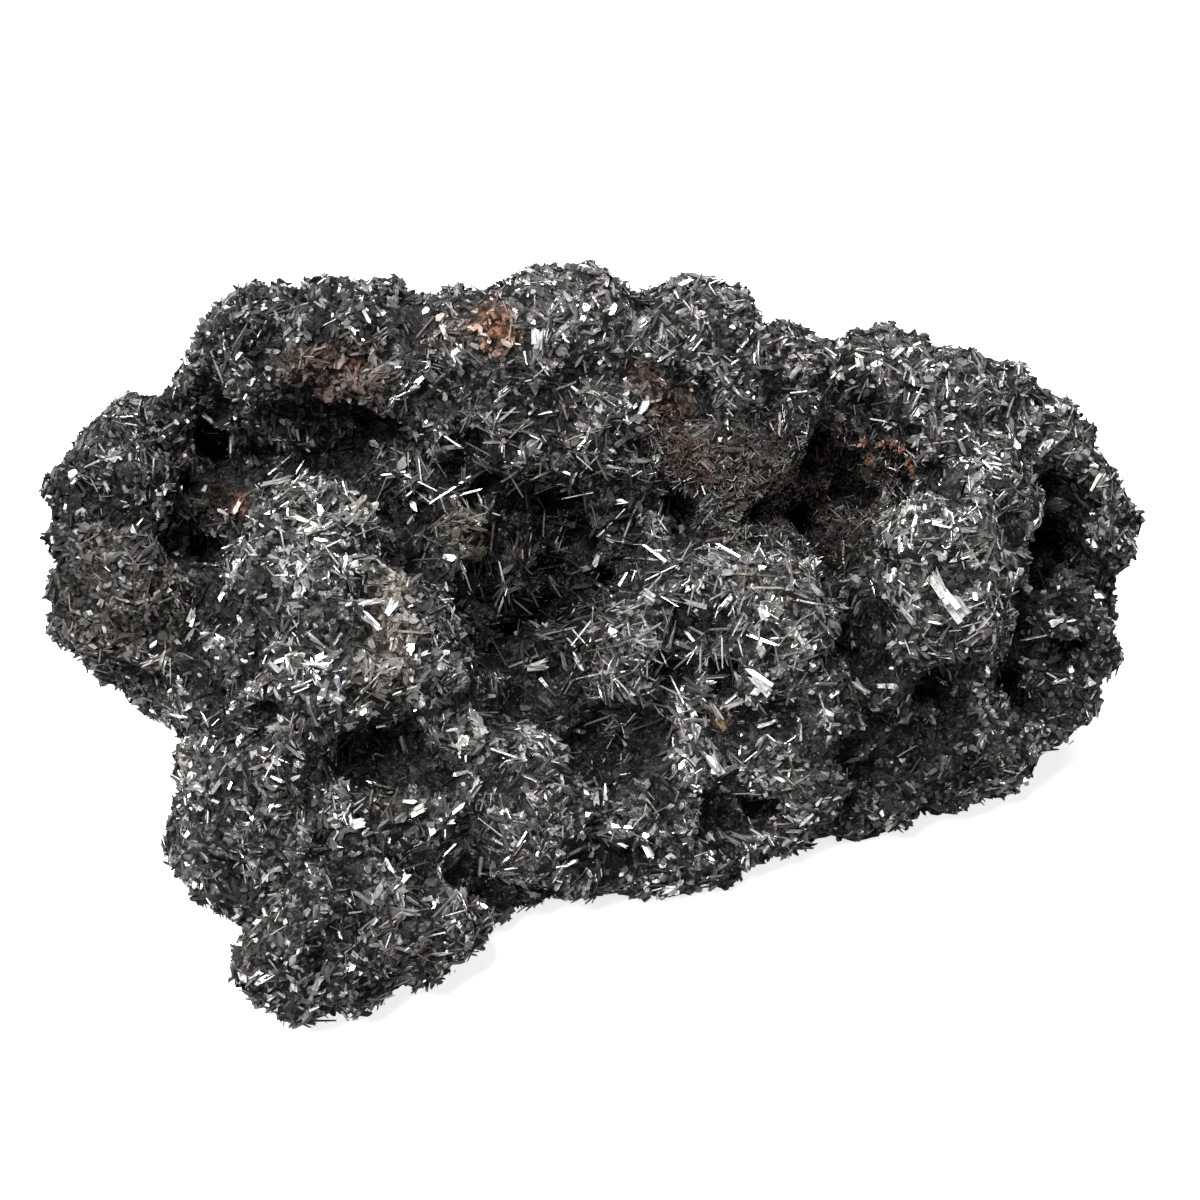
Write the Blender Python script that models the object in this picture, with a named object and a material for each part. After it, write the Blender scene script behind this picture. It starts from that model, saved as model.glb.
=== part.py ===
"""Manganese oxide specimen, 120 mm long: one intergrown lumpy mass with vugs and bladed crystals, and the crust of
crystals that lines its central hollow. Metres, +Z up. The specimen stands on its flat broken underside, with the
origin at the middle of the underside of its box."""

import math
import random

import bmesh
import bpy
import numpy as np
from mathutils import Matrix, Vector

# The driving dimensions. Lobes and hollows are sketched on a specimen SKETCH_LENGTH long, so LENGTH scales them all.
LENGTH = 0.120
SKETCH_LENGTH = 122.0
UNIT = LENGTH / SKETCH_LENGTH

# Grain of the surface, in sketch units: the voxel of the first union, and the knobs that cover every lobe
LOBE_VOXEL = 1.1
KNOB_SPACING = 6.5
KNOB_HEIGHT = 4.5
WANDER_SPACING = 17.0
WANDER_HEIGHT = 3.0
BODY_TRIANGLES = 3560

# Crystals fused to the mass, in sketch units
BLADE_COUNT = 143
BLADE_SPACING = 5.2
BLADE_LENGTH = (2.6, 4.4)
BLADE_WIDTH = (1.6, 3.2)
BLADE_THICKNESS = (0.8, 1.3)
BLADE_ROOT = 1.3
BLADE_TILT = (42.0, 76.0)
LOWEST_BLADE = 5.0

# The crust in the central hollow, in sketch units
CRUST_GAP = 0.25
CRUST_THICKNESS = 1.6
CRUST_BELOW_RIM = 1.8
RIM_TRIANGLES = 700
NEEDLE_COUNT = 34
NEEDLE_SPACING = 2.4
NEEDLE_LENGTH = (2.6, 4.8)
NEEDLE_WIDTH = (0.9, 1.6)
NEEDLE_THICKNESS = (0.6, 0.9)
NEEDLE_ROOT = 0.6
NEEDLE_TILT = (5.0, 40.0)

# Lobes: (centre, radii) in sketch units. X runs along the specimen, Y to its back, Z up from its flat underside.
LOBES = {
    # the high ridge along the back
    "rear_left_knob": ((-37, 24, 30), (10, 9, 12)),
    "rear_ridge_left": ((-25, 26, 30), (11, 9, 14)),
    "rear_ridge_step": ((-14, 26, 29), (8, 8, 13)),
    "rear_ridge_middle": ((-3, 27, 31), (10, 9, 15)),
    "rear_ridge_right": ((13, 26, 30), (11, 9, 15)),
    "rear_shelf": ((29, 25, 26), (11, 9, 12)),
    "rear_slope_left": ((-12, 18, 22), (9, 8, 12)),
    "rear_slope_middle": ((4, 18, 23), (10, 8, 12)),
    "rear_slope_right": ((18, 18, 22), (9, 8, 11)),
    "rear_foot_left": ((-26, 25, 11), (24, 12, 18)),
    "rear_foot_right": ((20, 25, 10), (28, 12, 17)),
    "back_lump_left": ((-41, 28, 15), (8, 8, 10)),
    "back_lump_high": ((-27, 34, 28), (8, 6, 8)),
    "back_lump_middle": ((-10, 36, 17), (9, 6, 9)),
    "back_lump_low": ((11, 36, 9), (10, 6, 8)),
    "back_lump_right": ((23, 34, 24), (8, 6, 8)),
    "back_lump_end": ((38, 30, 14), (9, 8, 10)),
    # the right end, hooked round the basin
    "right_shoulder": ((42, 21, 25), (13, 10, 12)),
    "right_tip": ((54, 13, 20), (8, 9, 10)),
    "right_flank": ((52, 2, 11), (8, 12, 11)),
    "right_lobe": ((37, -2, 25), (9, 9, 13)),
    "right_lobe_rim": ((43, 7, 26), (7, 7, 11)),
    "right_foot": ((38, -5, 8), (15, 10, 12)),
    "right_bridge": ((46, 9, 9), (11, 14, 13)),
    # the low front wall
    "front_lobe": ((18, -5, 21), (11, 8, 12)),
    "front_lobe_left": ((6, -7, 18), (8, 8, 11)),
    "front_lobe_back": ((13, 3, 16), (10, 8, 10)),
    "front_wall_right": ((25, -11, 8), (14, 9, 12)),
    "front_wall": ((10, -17, 7), (12, 9, 12)),
    "front_wall_left": ((-6, -19, 8), (11, 10, 12)),
    # the left part, with the bright lobe in its middle
    "middle_ridge": ((-14, 4, 17), (7, 9, 11)),
    "tan_ridge": ((-18, -10, 20), (8, 9, 13)),
    "bright_lobe": ((-29, -2, 26), (9, 9, 14)),
    "bright_lobe_foot": ((-29, -14, 18), (11, 10, 15)),
    "left_lobe": ((-50, 4, 17), (9, 8, 12)),
    "left_rear_lobe": ((-51, 17, 21), (10, 10, 12)),
    "left_foot": ((-46, 8, 8), (12, 12, 12)),
    # the toe that reaches to the front
    "toe_slope": ((-31, -24, 15), (11, 10, 12)),
    "toe": ((-29, -36.5, 9), (7.5, 7, 11)),
    "toe_left": ((-37, -22, 9), (8, 9, 11)),
    "toe_right": ((-21, -31, 8), (8, 9, 10)),
    "toe_web": ((-17, -22, 9), (8, 8, 10)),
    # the floor that joins them
    "floor_left": ((-28, 5, 10), (24, 22, 14)),
    "floor_middle": ((0, 5, 8), (28, 22, 13)),
    "floor_right": ((28, 8, 8), (27, 17, 14)),
}

# Hollows and vugs cut before the surface grows its knobs: (centre, radii)
VUGS = {
    "basin": ((30, 12, 29), (9.5, 6.5, 13)),
    "basin_mouth": ((24, 6, 37), (9, 6, 9)),
    "left_cleft": ((-42, 12, 28), (5, 10, 13)),
    "undercut": ((-28, 12.5, 28), (13, 5, 11)),
    "undercut_deep": ((-30, 18, 28), (11, 5, 5.5)),
    "right_gap": ((51, 9, 24), (4, 6.5, 11)),
    "right_gap_low": ((48, -5, 18), (3.5, 5, 5)),
    "lobe_gap": ((28, -3, 25), (3.5, 6, 10)),
    "front_vug": ((4, -18, 20), (8, 7, 4.5)),
    "front_vug_right": ((11, -7, 29), (4, 3.5, 6)),
    "front_vug_low": ((15, -23, 12), (4, 5, 5)),
    "slope_pit": ((-21, -21, 23), (4, 4, 7)),
    "lobe_pit": ((-36, -14, 27), (4, 3, 6)),
    "right_foot_vug": ((33, -16, 14), (6, 5, 4)),
    "ridge_notch": ((-19, 30, 43), (4, 7, 5)),
    "shelf_notch": ((23, 30, 40), (4, 7, 6)),
    "back_vug": ((6, 38, 22), (8, 6, 6)),
    "back_vug_left": ((-34, 38, 18), (6, 6, 8)),
}

# The central hollow, as lumpy balls grown together: (centre, radii)
HOLLOW = {
    "hollow_left": ((-9, 3, 22), (7, 6.5, 11)),
    "hollow_middle": ((-2, 7, 23), (8, 7, 14)),
    "hollow_right": ((6, 10, 29), (8.5, 6.5, 12)),
    "hollow_mouth": ((-4, 4, 34), (10, 8, 10)),
}
HOLLOW_VOXEL = 1.6
HOLLOW_LUMP_SPACING = 7.0
HOLLOW_LUMP_HEIGHT = 1.6
HOLLOW_TRIANGLES = 340


def clear_scene():
    for obj in list(bpy.data.objects):
        bpy.data.objects.remove(obj)


def add_object(name, mesh):
    obj = bpy.data.objects.new(name, mesh)
    bpy.context.scene.collection.objects.link(obj)
    return obj


def settle(obj):
    """Makes the object's modifiers its own mesh."""
    bpy.context.view_layer.update()
    evaluated = obj.evaluated_get(bpy.context.evaluated_depsgraph_get())
    mesh = bpy.data.meshes.new_from_object(evaluated)
    obj.modifiers.clear()
    obj.data = mesh
    return obj


def balls(name, shapes, detail=4):
    """One object holding an ellipsoid for each (centre, radii)."""
    bm = bmesh.new()
    for centre, radii in shapes:
        place = Matrix.Translation(Vector(centre) * UNIT) @ Matrix.Diagonal((*(Vector(radii) * UNIT), 1.0))
        bmesh.ops.create_icosphere(bm, subdivisions=detail, radius=1.0, matrix=place)
    mesh = bpy.data.meshes.new(name)
    bm.to_mesh(mesh)
    bm.free()
    return add_object(name, mesh)


def remesh(obj, voxel):
    """Overlapping closed shapes become one skin of even quads."""
    modifier = obj.modifiers.new("union", "REMESH")
    modifier.mode = "VOXEL"
    modifier.voxel_size = voxel * UNIT
    return settle(obj)


def soften(obj, factor, rounds):
    modifier = obj.modifiers.new("soften", "SMOOTH")
    modifier.factor = factor
    modifier.iterations = rounds
    return settle(obj)


def swell(obj, kind, spacing, height, level=0.5):
    """Raises knobs (VORONOI) or slow swells (CLOUDS) that far apart and that high, or sinks them for a negative height."""
    texture = bpy.data.textures.new(kind.lower(), kind)
    texture.noise_scale = spacing * UNIT
    modifier = obj.modifiers.new("swell", "DISPLACE")
    modifier.texture = texture
    modifier.texture_coords = "GLOBAL"
    modifier.direction = "NORMAL"
    modifier.mid_level = level
    modifier.strength = height * UNIT
    return settle(obj)


def grow(obj, distance):
    """Moves the whole surface outwards along its normals, or inwards for a negative distance."""
    modifier = obj.modifiers.new("grow", "DISPLACE")
    modifier.mid_level = 0.0
    modifier.strength = distance * UNIT
    return settle(obj)


def thin_out(obj, triangles):
    """Collapses edges until about that many triangles are left, which gives the flat facets."""
    bm = bmesh.new()
    bm.from_mesh(obj.data)
    bmesh.ops.triangulate(bm, faces=bm.faces)
    bm.to_mesh(obj.data)
    bm.free()
    modifier = obj.modifiers.new("facets", "DECIMATE")
    modifier.ratio = min(1.0, triangles / len(obj.data.polygons))
    return settle(obj)


def combine(obj, other, operation, keep_other=False):
    modifier = obj.modifiers.new(operation.lower(), "BOOLEAN")
    modifier.operation = operation
    modifier.object = other
    modifier.solver = "EXACT"
    modifier.use_self = operation == "UNION"
    settle(obj)
    if not keep_other:
        bpy.data.objects.remove(other)
    return obj


def keep_largest(obj):
    """Drops the crumbs that a cut leaves loose: only the piece with the most corners stays."""
    bm = bmesh.new()
    bm.from_mesh(obj.data)
    loose = set(bm.verts)
    pieces = []
    while loose:
        reached = [loose.pop()]
        piece = []
        while reached:
            vert = reached.pop()
            piece.append(vert)
            for edge in vert.link_edges:
                other = edge.other_vert(vert)
                if other in loose:
                    loose.discard(other)
                    reached.append(other)
        pieces.append(piece)
    pieces.sort(key=len)
    for piece in pieces[:-1]:
        bmesh.ops.delete(bm, geom=piece, context="VERTS")
    bm.to_mesh(obj.data)
    bm.free()
    return obj


def copy_of(obj, name):
    return add_object(name, obj.data.copy())


def block(name, low, high):
    """A box between two corners, in sketch units."""
    bm = bmesh.new()
    size = Vector(high) - Vector(low)
    middle = (Vector(high) + Vector(low)) / 2
    place = Matrix.Translation(middle * UNIT) @ Matrix.Diagonal((*(size * UNIT), 1.0))
    bmesh.ops.create_cube(bm, size=1.0, matrix=place)
    mesh = bpy.data.meshes.new(name)
    bm.to_mesh(mesh)
    bm.free()
    return add_object(name, mesh)


def make_body():
    """The mass before its central hollow is cut: lobes, vugs, knobs and the flat underside."""
    body = remesh(balls("oxide_mass", LOBES.values()), LOBE_VOXEL)
    combine(body, remesh(balls("vugs", VUGS.values()), LOBE_VOXEL), "DIFFERENCE")
    remesh(body, LOBE_VOXEL)
    soften(body, 0.5, 3)
    swell(body, "CLOUDS", WANDER_SPACING, WANDER_HEIGHT)
    swell(body, "VORONOI", KNOB_SPACING, -KNOB_HEIGHT, level=0.35)
    remesh(body, LOBE_VOXEL)
    thin_out(body, BODY_TRIANGLES)
    combine(body, block("ground", (-90, -90, -30), (90, 90, 0)), "DIFFERENCE")
    return body


def make_hollow():
    """The shape of the central hollow, used to cut the mass and to form the crust."""
    hollow = remesh(balls("hollow", HOLLOW.values()), HOLLOW_VOXEL)
    swell(hollow, "CLOUDS", HOLLOW_LUMP_SPACING, HOLLOW_LUMP_HEIGHT)
    return thin_out(hollow, HOLLOW_TRIANGLES)


def blade(bm, place, length, width, thickness, root, lean):
    """A flat crystal: a bar whose far end narrows to a slanting chisel edge. It grows along the place's Z."""
    made = bmesh.ops.create_cube(bm, size=1.0)["verts"]
    for vert in made:
        at_tip = vert.co.z > 0
        slope = lean * vert.co.x * width if at_tip else 0.0
        vert.co = Vector((
            vert.co.x * width * (0.8 if at_tip else 1.0),
            vert.co.y * thickness * (0.35 if at_tip else 1.0),
            length + slope if at_tip else -root,
        ))
    bmesh.ops.transform(bm, matrix=place, verts=made)


def surface_spots(obj, count, spacing, allowed, chance):
    """Up to count (point, normal) on the object's faces, no two closer than spacing."""
    mesh = obj.data
    mesh.calc_loop_triangles()
    corners = np.array([[mesh.vertices[i].co[:] for i in t.vertices] for t in mesh.loop_triangles])
    across = np.cross(corners[:, 1] - corners[:, 0], corners[:, 2] - corners[:, 0])
    reach = np.cumsum(np.linalg.norm(across, axis=1))
    spots = []
    for _ in range(count * 60):
        face = int(np.searchsorted(reach, chance.random() * reach[-1]))
        a, b = chance.random(), chance.random()
        if a + b > 1:
            a, b = 1 - a, 1 - b
        first, second, third = (Vector(c) for c in corners[face])
        point = first + (second - first) * a + (third - first) * b
        normal = Vector(across[face]).normalized()
        if not allowed(point, normal):
            continue
        if all((point - other).length > spacing for other, _ in spots):
            spots.append((point, normal))
        if len(spots) == count:
            break
    return spots


def standing(point, normal, tilt, turn, spin):
    """The place of a crystal rooted at point, leaning tilt away from the normal, towards turn, and spun on itself."""
    upright = normal.to_track_quat("Z", "Y").to_matrix().to_4x4()
    lean = Matrix.Rotation(turn, 4, "Z") @ Matrix.Rotation(tilt, 4, "X") @ Matrix.Rotation(spin, 4, "Z")
    return Matrix.Translation(point) @ upright @ lean


def crystals(name, spots, length, width, thickness, root, tilt, chance):
    """All the blades of one surface, in one object."""
    bm = bmesh.new()
    for point, normal in spots:
        place = standing(
            point,
            normal,
            math.radians(chance.uniform(*tilt)),
            chance.uniform(0, math.tau),
            chance.uniform(0, math.tau),
        )
        blade(
            bm,
            place,
            chance.uniform(*length) * UNIT,
            chance.uniform(*width) * UNIT,
            chance.uniform(*thickness) * UNIT,
            root * UNIT,
            chance.uniform(-0.7, 0.7),
        )
    mesh = bpy.data.meshes.new(name)
    bm.to_mesh(mesh)
    bm.free()
    return add_object(name, mesh)


def in_hollow(point, margin):
    """True within margin, in sketch units, of the balls of the central hollow."""
    for centre, radii in HOLLOW.values():
        away = point / UNIT - Vector(centre)
        if sum((a / (r + margin)) ** 2 for a, r in zip(away, radii)) < 1:
            return True
    return False


def make_mass(body, hollow):
    """The mass with its crystals fused on and its central hollow cut."""
    chance = random.Random(11)

    def allowed(point, normal):
        return point.z > LOWEST_BLADE * UNIT and normal.z > -0.5 and not in_hollow(point, 0.5)

    spots = surface_spots(body, BLADE_COUNT, BLADE_SPACING * UNIT, allowed, chance)
    blades = crystals(
        "blades", spots, BLADE_LENGTH, BLADE_WIDTH, BLADE_THICKNESS, BLADE_ROOT, BLADE_TILT, chance
    )
    combine(body, blades, "UNION")
    return keep_largest(combine(body, hollow, "DIFFERENCE", keep_other=True))


def make_crust(hollow, body):
    """The hollow's crust: a skin just inside the hollow, ending below the rim, with needles standing on it."""
    rim = remesh(grow(copy_of(body, "rim"), -CRUST_BELOW_RIM), LOBE_VOXEL)
    thin_out(rim, RIM_TRIANGLES)
    crust = grow(copy_of(hollow, "hollow_crystal_crust"), -CRUST_GAP)
    room = grow(copy_of(hollow, "room"), -CRUST_GAP - CRUST_THICKNESS)
    combine(crust, rim, "INTERSECT")
    combine(crust, room, "DIFFERENCE")
    keep_largest(crust)
    chance = random.Random(5)
    middles = [Vector(centre) * UNIT for centre, _ in HOLLOW.values()]

    def allowed(point, normal):
        nearest = min(middles, key=lambda middle: (middle - point).length)
        return normal.dot((nearest - point).normalized()) > 0.6 and in_hollow(point, -1.0)

    spots = surface_spots(crust, NEEDLE_COUNT, NEEDLE_SPACING * UNIT, allowed, chance)
    needles = crystals(
        "needles", spots, NEEDLE_LENGTH, NEEDLE_WIDTH, NEEDLE_THICKNESS, NEEDLE_ROOT, NEEDLE_TILT, chance
    )
    return combine(crust, needles, "UNION")


def set_in_frame(objects, longest):
    """Scales all so that the longest object is LENGTH long, and stands the middle of its underside on the origin."""
    corners = [vert.co for vert in longest.data.vertices]
    low = Vector([min(c[i] for c in corners) for i in range(3)])
    high = Vector([max(c[i] for c in corners) for i in range(3)])
    factor = LENGTH / (high.x - low.x)
    middle = Vector(((low.x + high.x) / 2, (low.y + high.y) / 2, low.z))
    place = Matrix.Scale(factor, 4) @ Matrix.Translation(-middle)
    for obj in objects:
        obj.data.transform(place)
    return factor * UNIT, middle / UNIT


def paint(obj, name, colour, roughness, metallic):
    material = bpy.data.materials.new(name)
    material.use_nodes = True
    shader = material.node_tree.nodes["Principled BSDF"]
    shader.inputs["Base Color"].default_value = (*colour, 1.0)
    shader.inputs["Roughness"].default_value = roughness
    shader.inputs["Metallic"].default_value = metallic
    obj.data.materials.clear()
    obj.data.materials.append(material)


def main():
    clear_scene()
    hollow = make_hollow()
    body = make_body()
    crust = make_crust(hollow, body)
    mass = make_mass(body, hollow)
    bpy.data.objects.remove(hollow)
    sketch_unit, sketch_middle = set_in_frame([mass, crust], mass)
    print("one sketch unit is", sketch_unit, "m, and the origin is at", sketch_middle)
    paint(mass, "dark_oxide", (0.035, 0.035, 0.038), 0.45, 0.5)
    paint(crust, "bright_crystal", (0.09, 0.09, 0.095), 0.35, 0.7)
    return sketch_unit, sketch_middle


SKETCH = main()
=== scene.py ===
import math

import bpy
import numpy as np
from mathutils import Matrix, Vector, noise
from mathutils.kdtree import KDTree


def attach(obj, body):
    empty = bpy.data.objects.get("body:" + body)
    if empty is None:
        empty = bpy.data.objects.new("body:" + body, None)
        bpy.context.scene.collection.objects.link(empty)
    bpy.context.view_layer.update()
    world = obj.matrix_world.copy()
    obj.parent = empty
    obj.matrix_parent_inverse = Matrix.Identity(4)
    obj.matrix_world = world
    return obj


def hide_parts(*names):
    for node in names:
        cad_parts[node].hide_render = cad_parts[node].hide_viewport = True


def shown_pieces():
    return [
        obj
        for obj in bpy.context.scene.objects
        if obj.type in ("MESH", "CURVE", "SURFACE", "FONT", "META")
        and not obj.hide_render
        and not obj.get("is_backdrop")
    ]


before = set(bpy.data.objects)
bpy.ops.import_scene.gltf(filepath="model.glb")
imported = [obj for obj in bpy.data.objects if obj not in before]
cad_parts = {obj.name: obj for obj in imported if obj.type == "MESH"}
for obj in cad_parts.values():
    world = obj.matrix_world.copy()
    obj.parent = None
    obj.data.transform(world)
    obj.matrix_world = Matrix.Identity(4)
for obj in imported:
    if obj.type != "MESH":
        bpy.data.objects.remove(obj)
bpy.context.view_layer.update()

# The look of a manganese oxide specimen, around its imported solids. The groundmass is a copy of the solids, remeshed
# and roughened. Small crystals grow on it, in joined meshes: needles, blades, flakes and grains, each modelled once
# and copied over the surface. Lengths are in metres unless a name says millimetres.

MM = 0.001
chance = np.random.default_rng(2026)
# The direction to the photograph's camera, and the picture's right and up, as the camera sees them
TO_CAMERA = np.array((0.0, -0.6428, 0.7660))
PICTURE_RIGHT = np.array((1.0, 0.0, 0.0))
PICTURE_UP = np.array((0.0, 0.7660, 0.6428))
# Every small hollow as (centre, radius) in millimetres, filled in when they are sunk
ALL_PITS = []

# Colours, as linear red, green and blue
STEEL = (0.184, 0.182, 0.179)
# A pale grey that stands in for glints: painted highlights on a few crystals
PAINTED_GLINT_GREY = (0.47, 0.466, 0.459)
# The near black that hollows, pits and sparse places are painted towards: painted shade
PAINTED_SHADE_BLACK = (0.010, 0.010, 0.010)
RUST = (0.30, 0.145, 0.080)
RED_BROWN = (0.120, 0.066, 0.050)
TAN = (0.27, 0.232, 0.190)
OCHRE = (0.36, 0.26, 0.13)
UMBER = (0.100, 0.090, 0.082)
MOSS = (0.050, 0.040, 0.034)

# Stains: (centre in millimetres, radius in millimetres, colour, strength)
STAINS = [
    ((-48.7, -0.8, 25), 9, UMBER, 0.55), ((-50.7, -2.7, 17.5), 7, UMBER, 0.55), ((-42, 16, 20), 6, UMBER, 0.35),
    ((25.9, 16.7, 19.6), 8, MOSS, 0.75), ((17.5, 11.7, 26), 7, MOSS, 0.70), ((9.5, 13.5, 27.5), 5, MOSS, 0.55),
    ((-10.8, 22.6, 38.7), 3.2, RUST, 0.80), ((-15, 23.5, 38.6), 3, RED_BROWN, 0.45),
    ((4.9, 19, 34.2), 2.2, RED_BROWN, 0.70), ((7.6, 17.3, 31.5), 3, RED_BROWN, 0.80),
    ((10.2, 13.9, 28.1), 3.2, RED_BROWN, 0.75), ((12.6, 15, 28.9), 1, RUST, 0.75),
    ((-26.1, 18.9, 34.6), 4.6, RED_BROWN, 0.80), ((-29.5, 17.9, 36.8), 3.4, RED_BROWN, 0.65),
    ((-38.8, 16.6, 18.1), 1.5, RUST, 0.80), ((-19.5, -11.9, 30.3), 3, TAN, 0.75),
    ((-13, 7.2, 23.7), 3.4, TAN, 0.60), ((-22.9, 1, 34.5), 1.5, TAN, 0.70), ((-19.6, -7.5, 31.3), 2.4, TAN, 0.70),
    ((-20.4, -15.3, 28.3), 3, TAN, 0.50), ((-20, -24, 19), 2.6, TAN, 0.35),
    ((13.2, -12.9, 17.4), 1.3, OCHRE, 0.60), ((15, -3.6, 29.8), 1.2, OCHRE, 0.50),
    ((-7.9, 8.8, 17.1), 2, TAN, 0.30),
]
# Strips of rust-coloured crumbs that climb the rear right basin: (one end, other end), in millimetres
RUST_STRIPS = [
    ((28.9, 18.2, 25.6), (29.6, 16.6, 22.6)), ((31, 17.4, 25.4), (33, 17, 25.6)),
    ((33, 17, 25.6), (34, 15.8, 23.2)),
]

# Where the crystals are small, matt and blocky instead of long and bright: (centre, radius), in millimetres
GRANULAR = [
    ((-51, 1, 20), 13), ((-40, 24, 34), 9), ((-29, 24, 39), 8), ((30, -15, 9), 14), ((44, -9, 10), 12),
    ((53, 1, 16), 13), ((13, -20, 6), 8), ((57, 12, 20), 8), ((-29, -38, 14), 8), ((-41, -24, 20), 7),
    ((-20, 40, 18), 18), ((25, 38, 14), 20), ((-19.5, -10, 30.5), 5), ((-13, 7.2, 23.7), 3),
    ((-10.8, 22.6, 38.7), 4), ((-26.1, 18.9, 34.6), 4), ((6.5, 18, 32.5), 4),
]
# Where they are the finest of all, a dark moss of threads
MOSSY = [
    ((27, 16, 20), 8), ((20, 13, 24), 8), ((13, 12, 26), 6), ((8.5, 14, 28), 4),
]
# Where long needles stand free and cross each other
NEEDLY = [
    ((-6, 10, 20), 14), ((-22, 8, 24), 9), ((4, -2, 22), 10), ((14, -6, 27), 8),
]
# Where they are brightest: painted light, and a higher polish on the crystals
PAINTED_LIGHT_AND_POLISH_PLACES = [
    ((-29.5, 0, 35.5), 9), ((36, 15, 32), 7), ((36, -2, 32), 9), ((38, 6, 30), 8), ((14, -8, 28), 9),
    ((12, -17, 13), 7), ((-28, -13, 31), 5.5), ((0, 18, 37), 10),
]
# Where they are dullest: painted shade, and a rougher finish on the crystals
PAINTED_SHADE_AND_DULL_PLACES = [
    ((51, 2, 16), 15), ((34, -15, 8), 14), ((-50, 4, 22), 10), ((-34, 22, 38), 8), ((-34, -22, 19), 3.5),
    ((24, 14, 22), 10), ((-8, 4, 17), 10), ((-4, 11, 19), 5.5),
]
# Where crystals are few, over painted black shade
SPARSE = [
    ((-8, 2, 17), 10), ((-3, 10, 18), 8), ((-13, 12, 27), 4), ((1, -14, 16), 4), ((9, -11.2, 22.7), 2.8),
    ((7.8, -21.1, 14.6), 2.2), ((26, 16, 21), 6), ((-38, 18, 22), 3.6), ((50, 8, 18), 5), ((35, -11, 15), 4),
]
# How far from a place's centre it still tells, in radii
PLACE_EDGE = 1.35

# Small hollows between the crystals: (centre, radius), in millimetres
PITS = [
    ((24.6, 17.9, 24.5), 2.4), ((26.5, 17, 21.5), 2.6), ((28.4, 16.8, 18.5), 2.4), ((-12.2, -2.4, 21.4), 3.4),
    ((-9, 1.5, 17.5), 2.6), ((-31.8, 16.6, 33.8), 2.2), ((30.7, -16.8, 8.9), 1.7), ((36.1, -10, 16.7), 2),
    ((-14.2, 13.2, 29.3), 2.4), ((9, -11.2, 22.7), 2.2), ((0.2, -13.9, 16.3), 2.2), ((2.3, -14.7, 16.1), 1.8),
    ((32.8, 15, 21.8), 2.2), ((-3.2, 4.5, 14.1), 2.3), ((28.1, -14.7, 10.2), 1.5), ((-37.5, 19.2, 22.4), 2.2),
    ((-1.7, 10.9, 18.6), 2.2), ((-4.3, 12.7, 21.1), 2), ((-43.8, 15.8, 21.4), 1.9), ((7.8, -21.1, 14.6), 1.8),
    ((28.8, -4.1, 31.8), 1.7), ((-41.7, 21.2, 21.7), 1.8), ((8.9, 12.7, 21.3), 1.6), ((22.4, 14.2, 17.4), 1.7),
    ((17.9, 9.7, 23.2), 1.6), ((49.6, -3.7, 16.6), 1.8), ((33.9, 17.4, 32.9), 1.5), ((1.2, 8.4, 13.7), 1.5),
    ((48, -0.7, 21), 1.7), ((12.9, -11, 21), 1.6), ((44.4, -5.1, 12.4), 1.6), ((-42.4, 11.5, 15.9), 1.5),
    ((16.7, -18.8, 8.8), 1.4), ((-11.8, 11.2, 25.4), 1.3), ((25.9, 2.3, 21), 1.3), ((-32.8, -19.9, 26.1), 1.2),
    ((36.4, -13.5, 13.8), 1.3),
]
# How many more are sunk by chance on the sides that the photograph hides, and their least and greatest radius
CHANCE_PITS = 26
CHANCE_PIT_RADII = (0.9, 1.9)
# The middle of the thin wall behind the slit in the right flank, and how near to it no chance pit may be
THIN_WALL = (51.0, 14.0, 12.5)
THIN_WALL_RADIUS = 8.0
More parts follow.
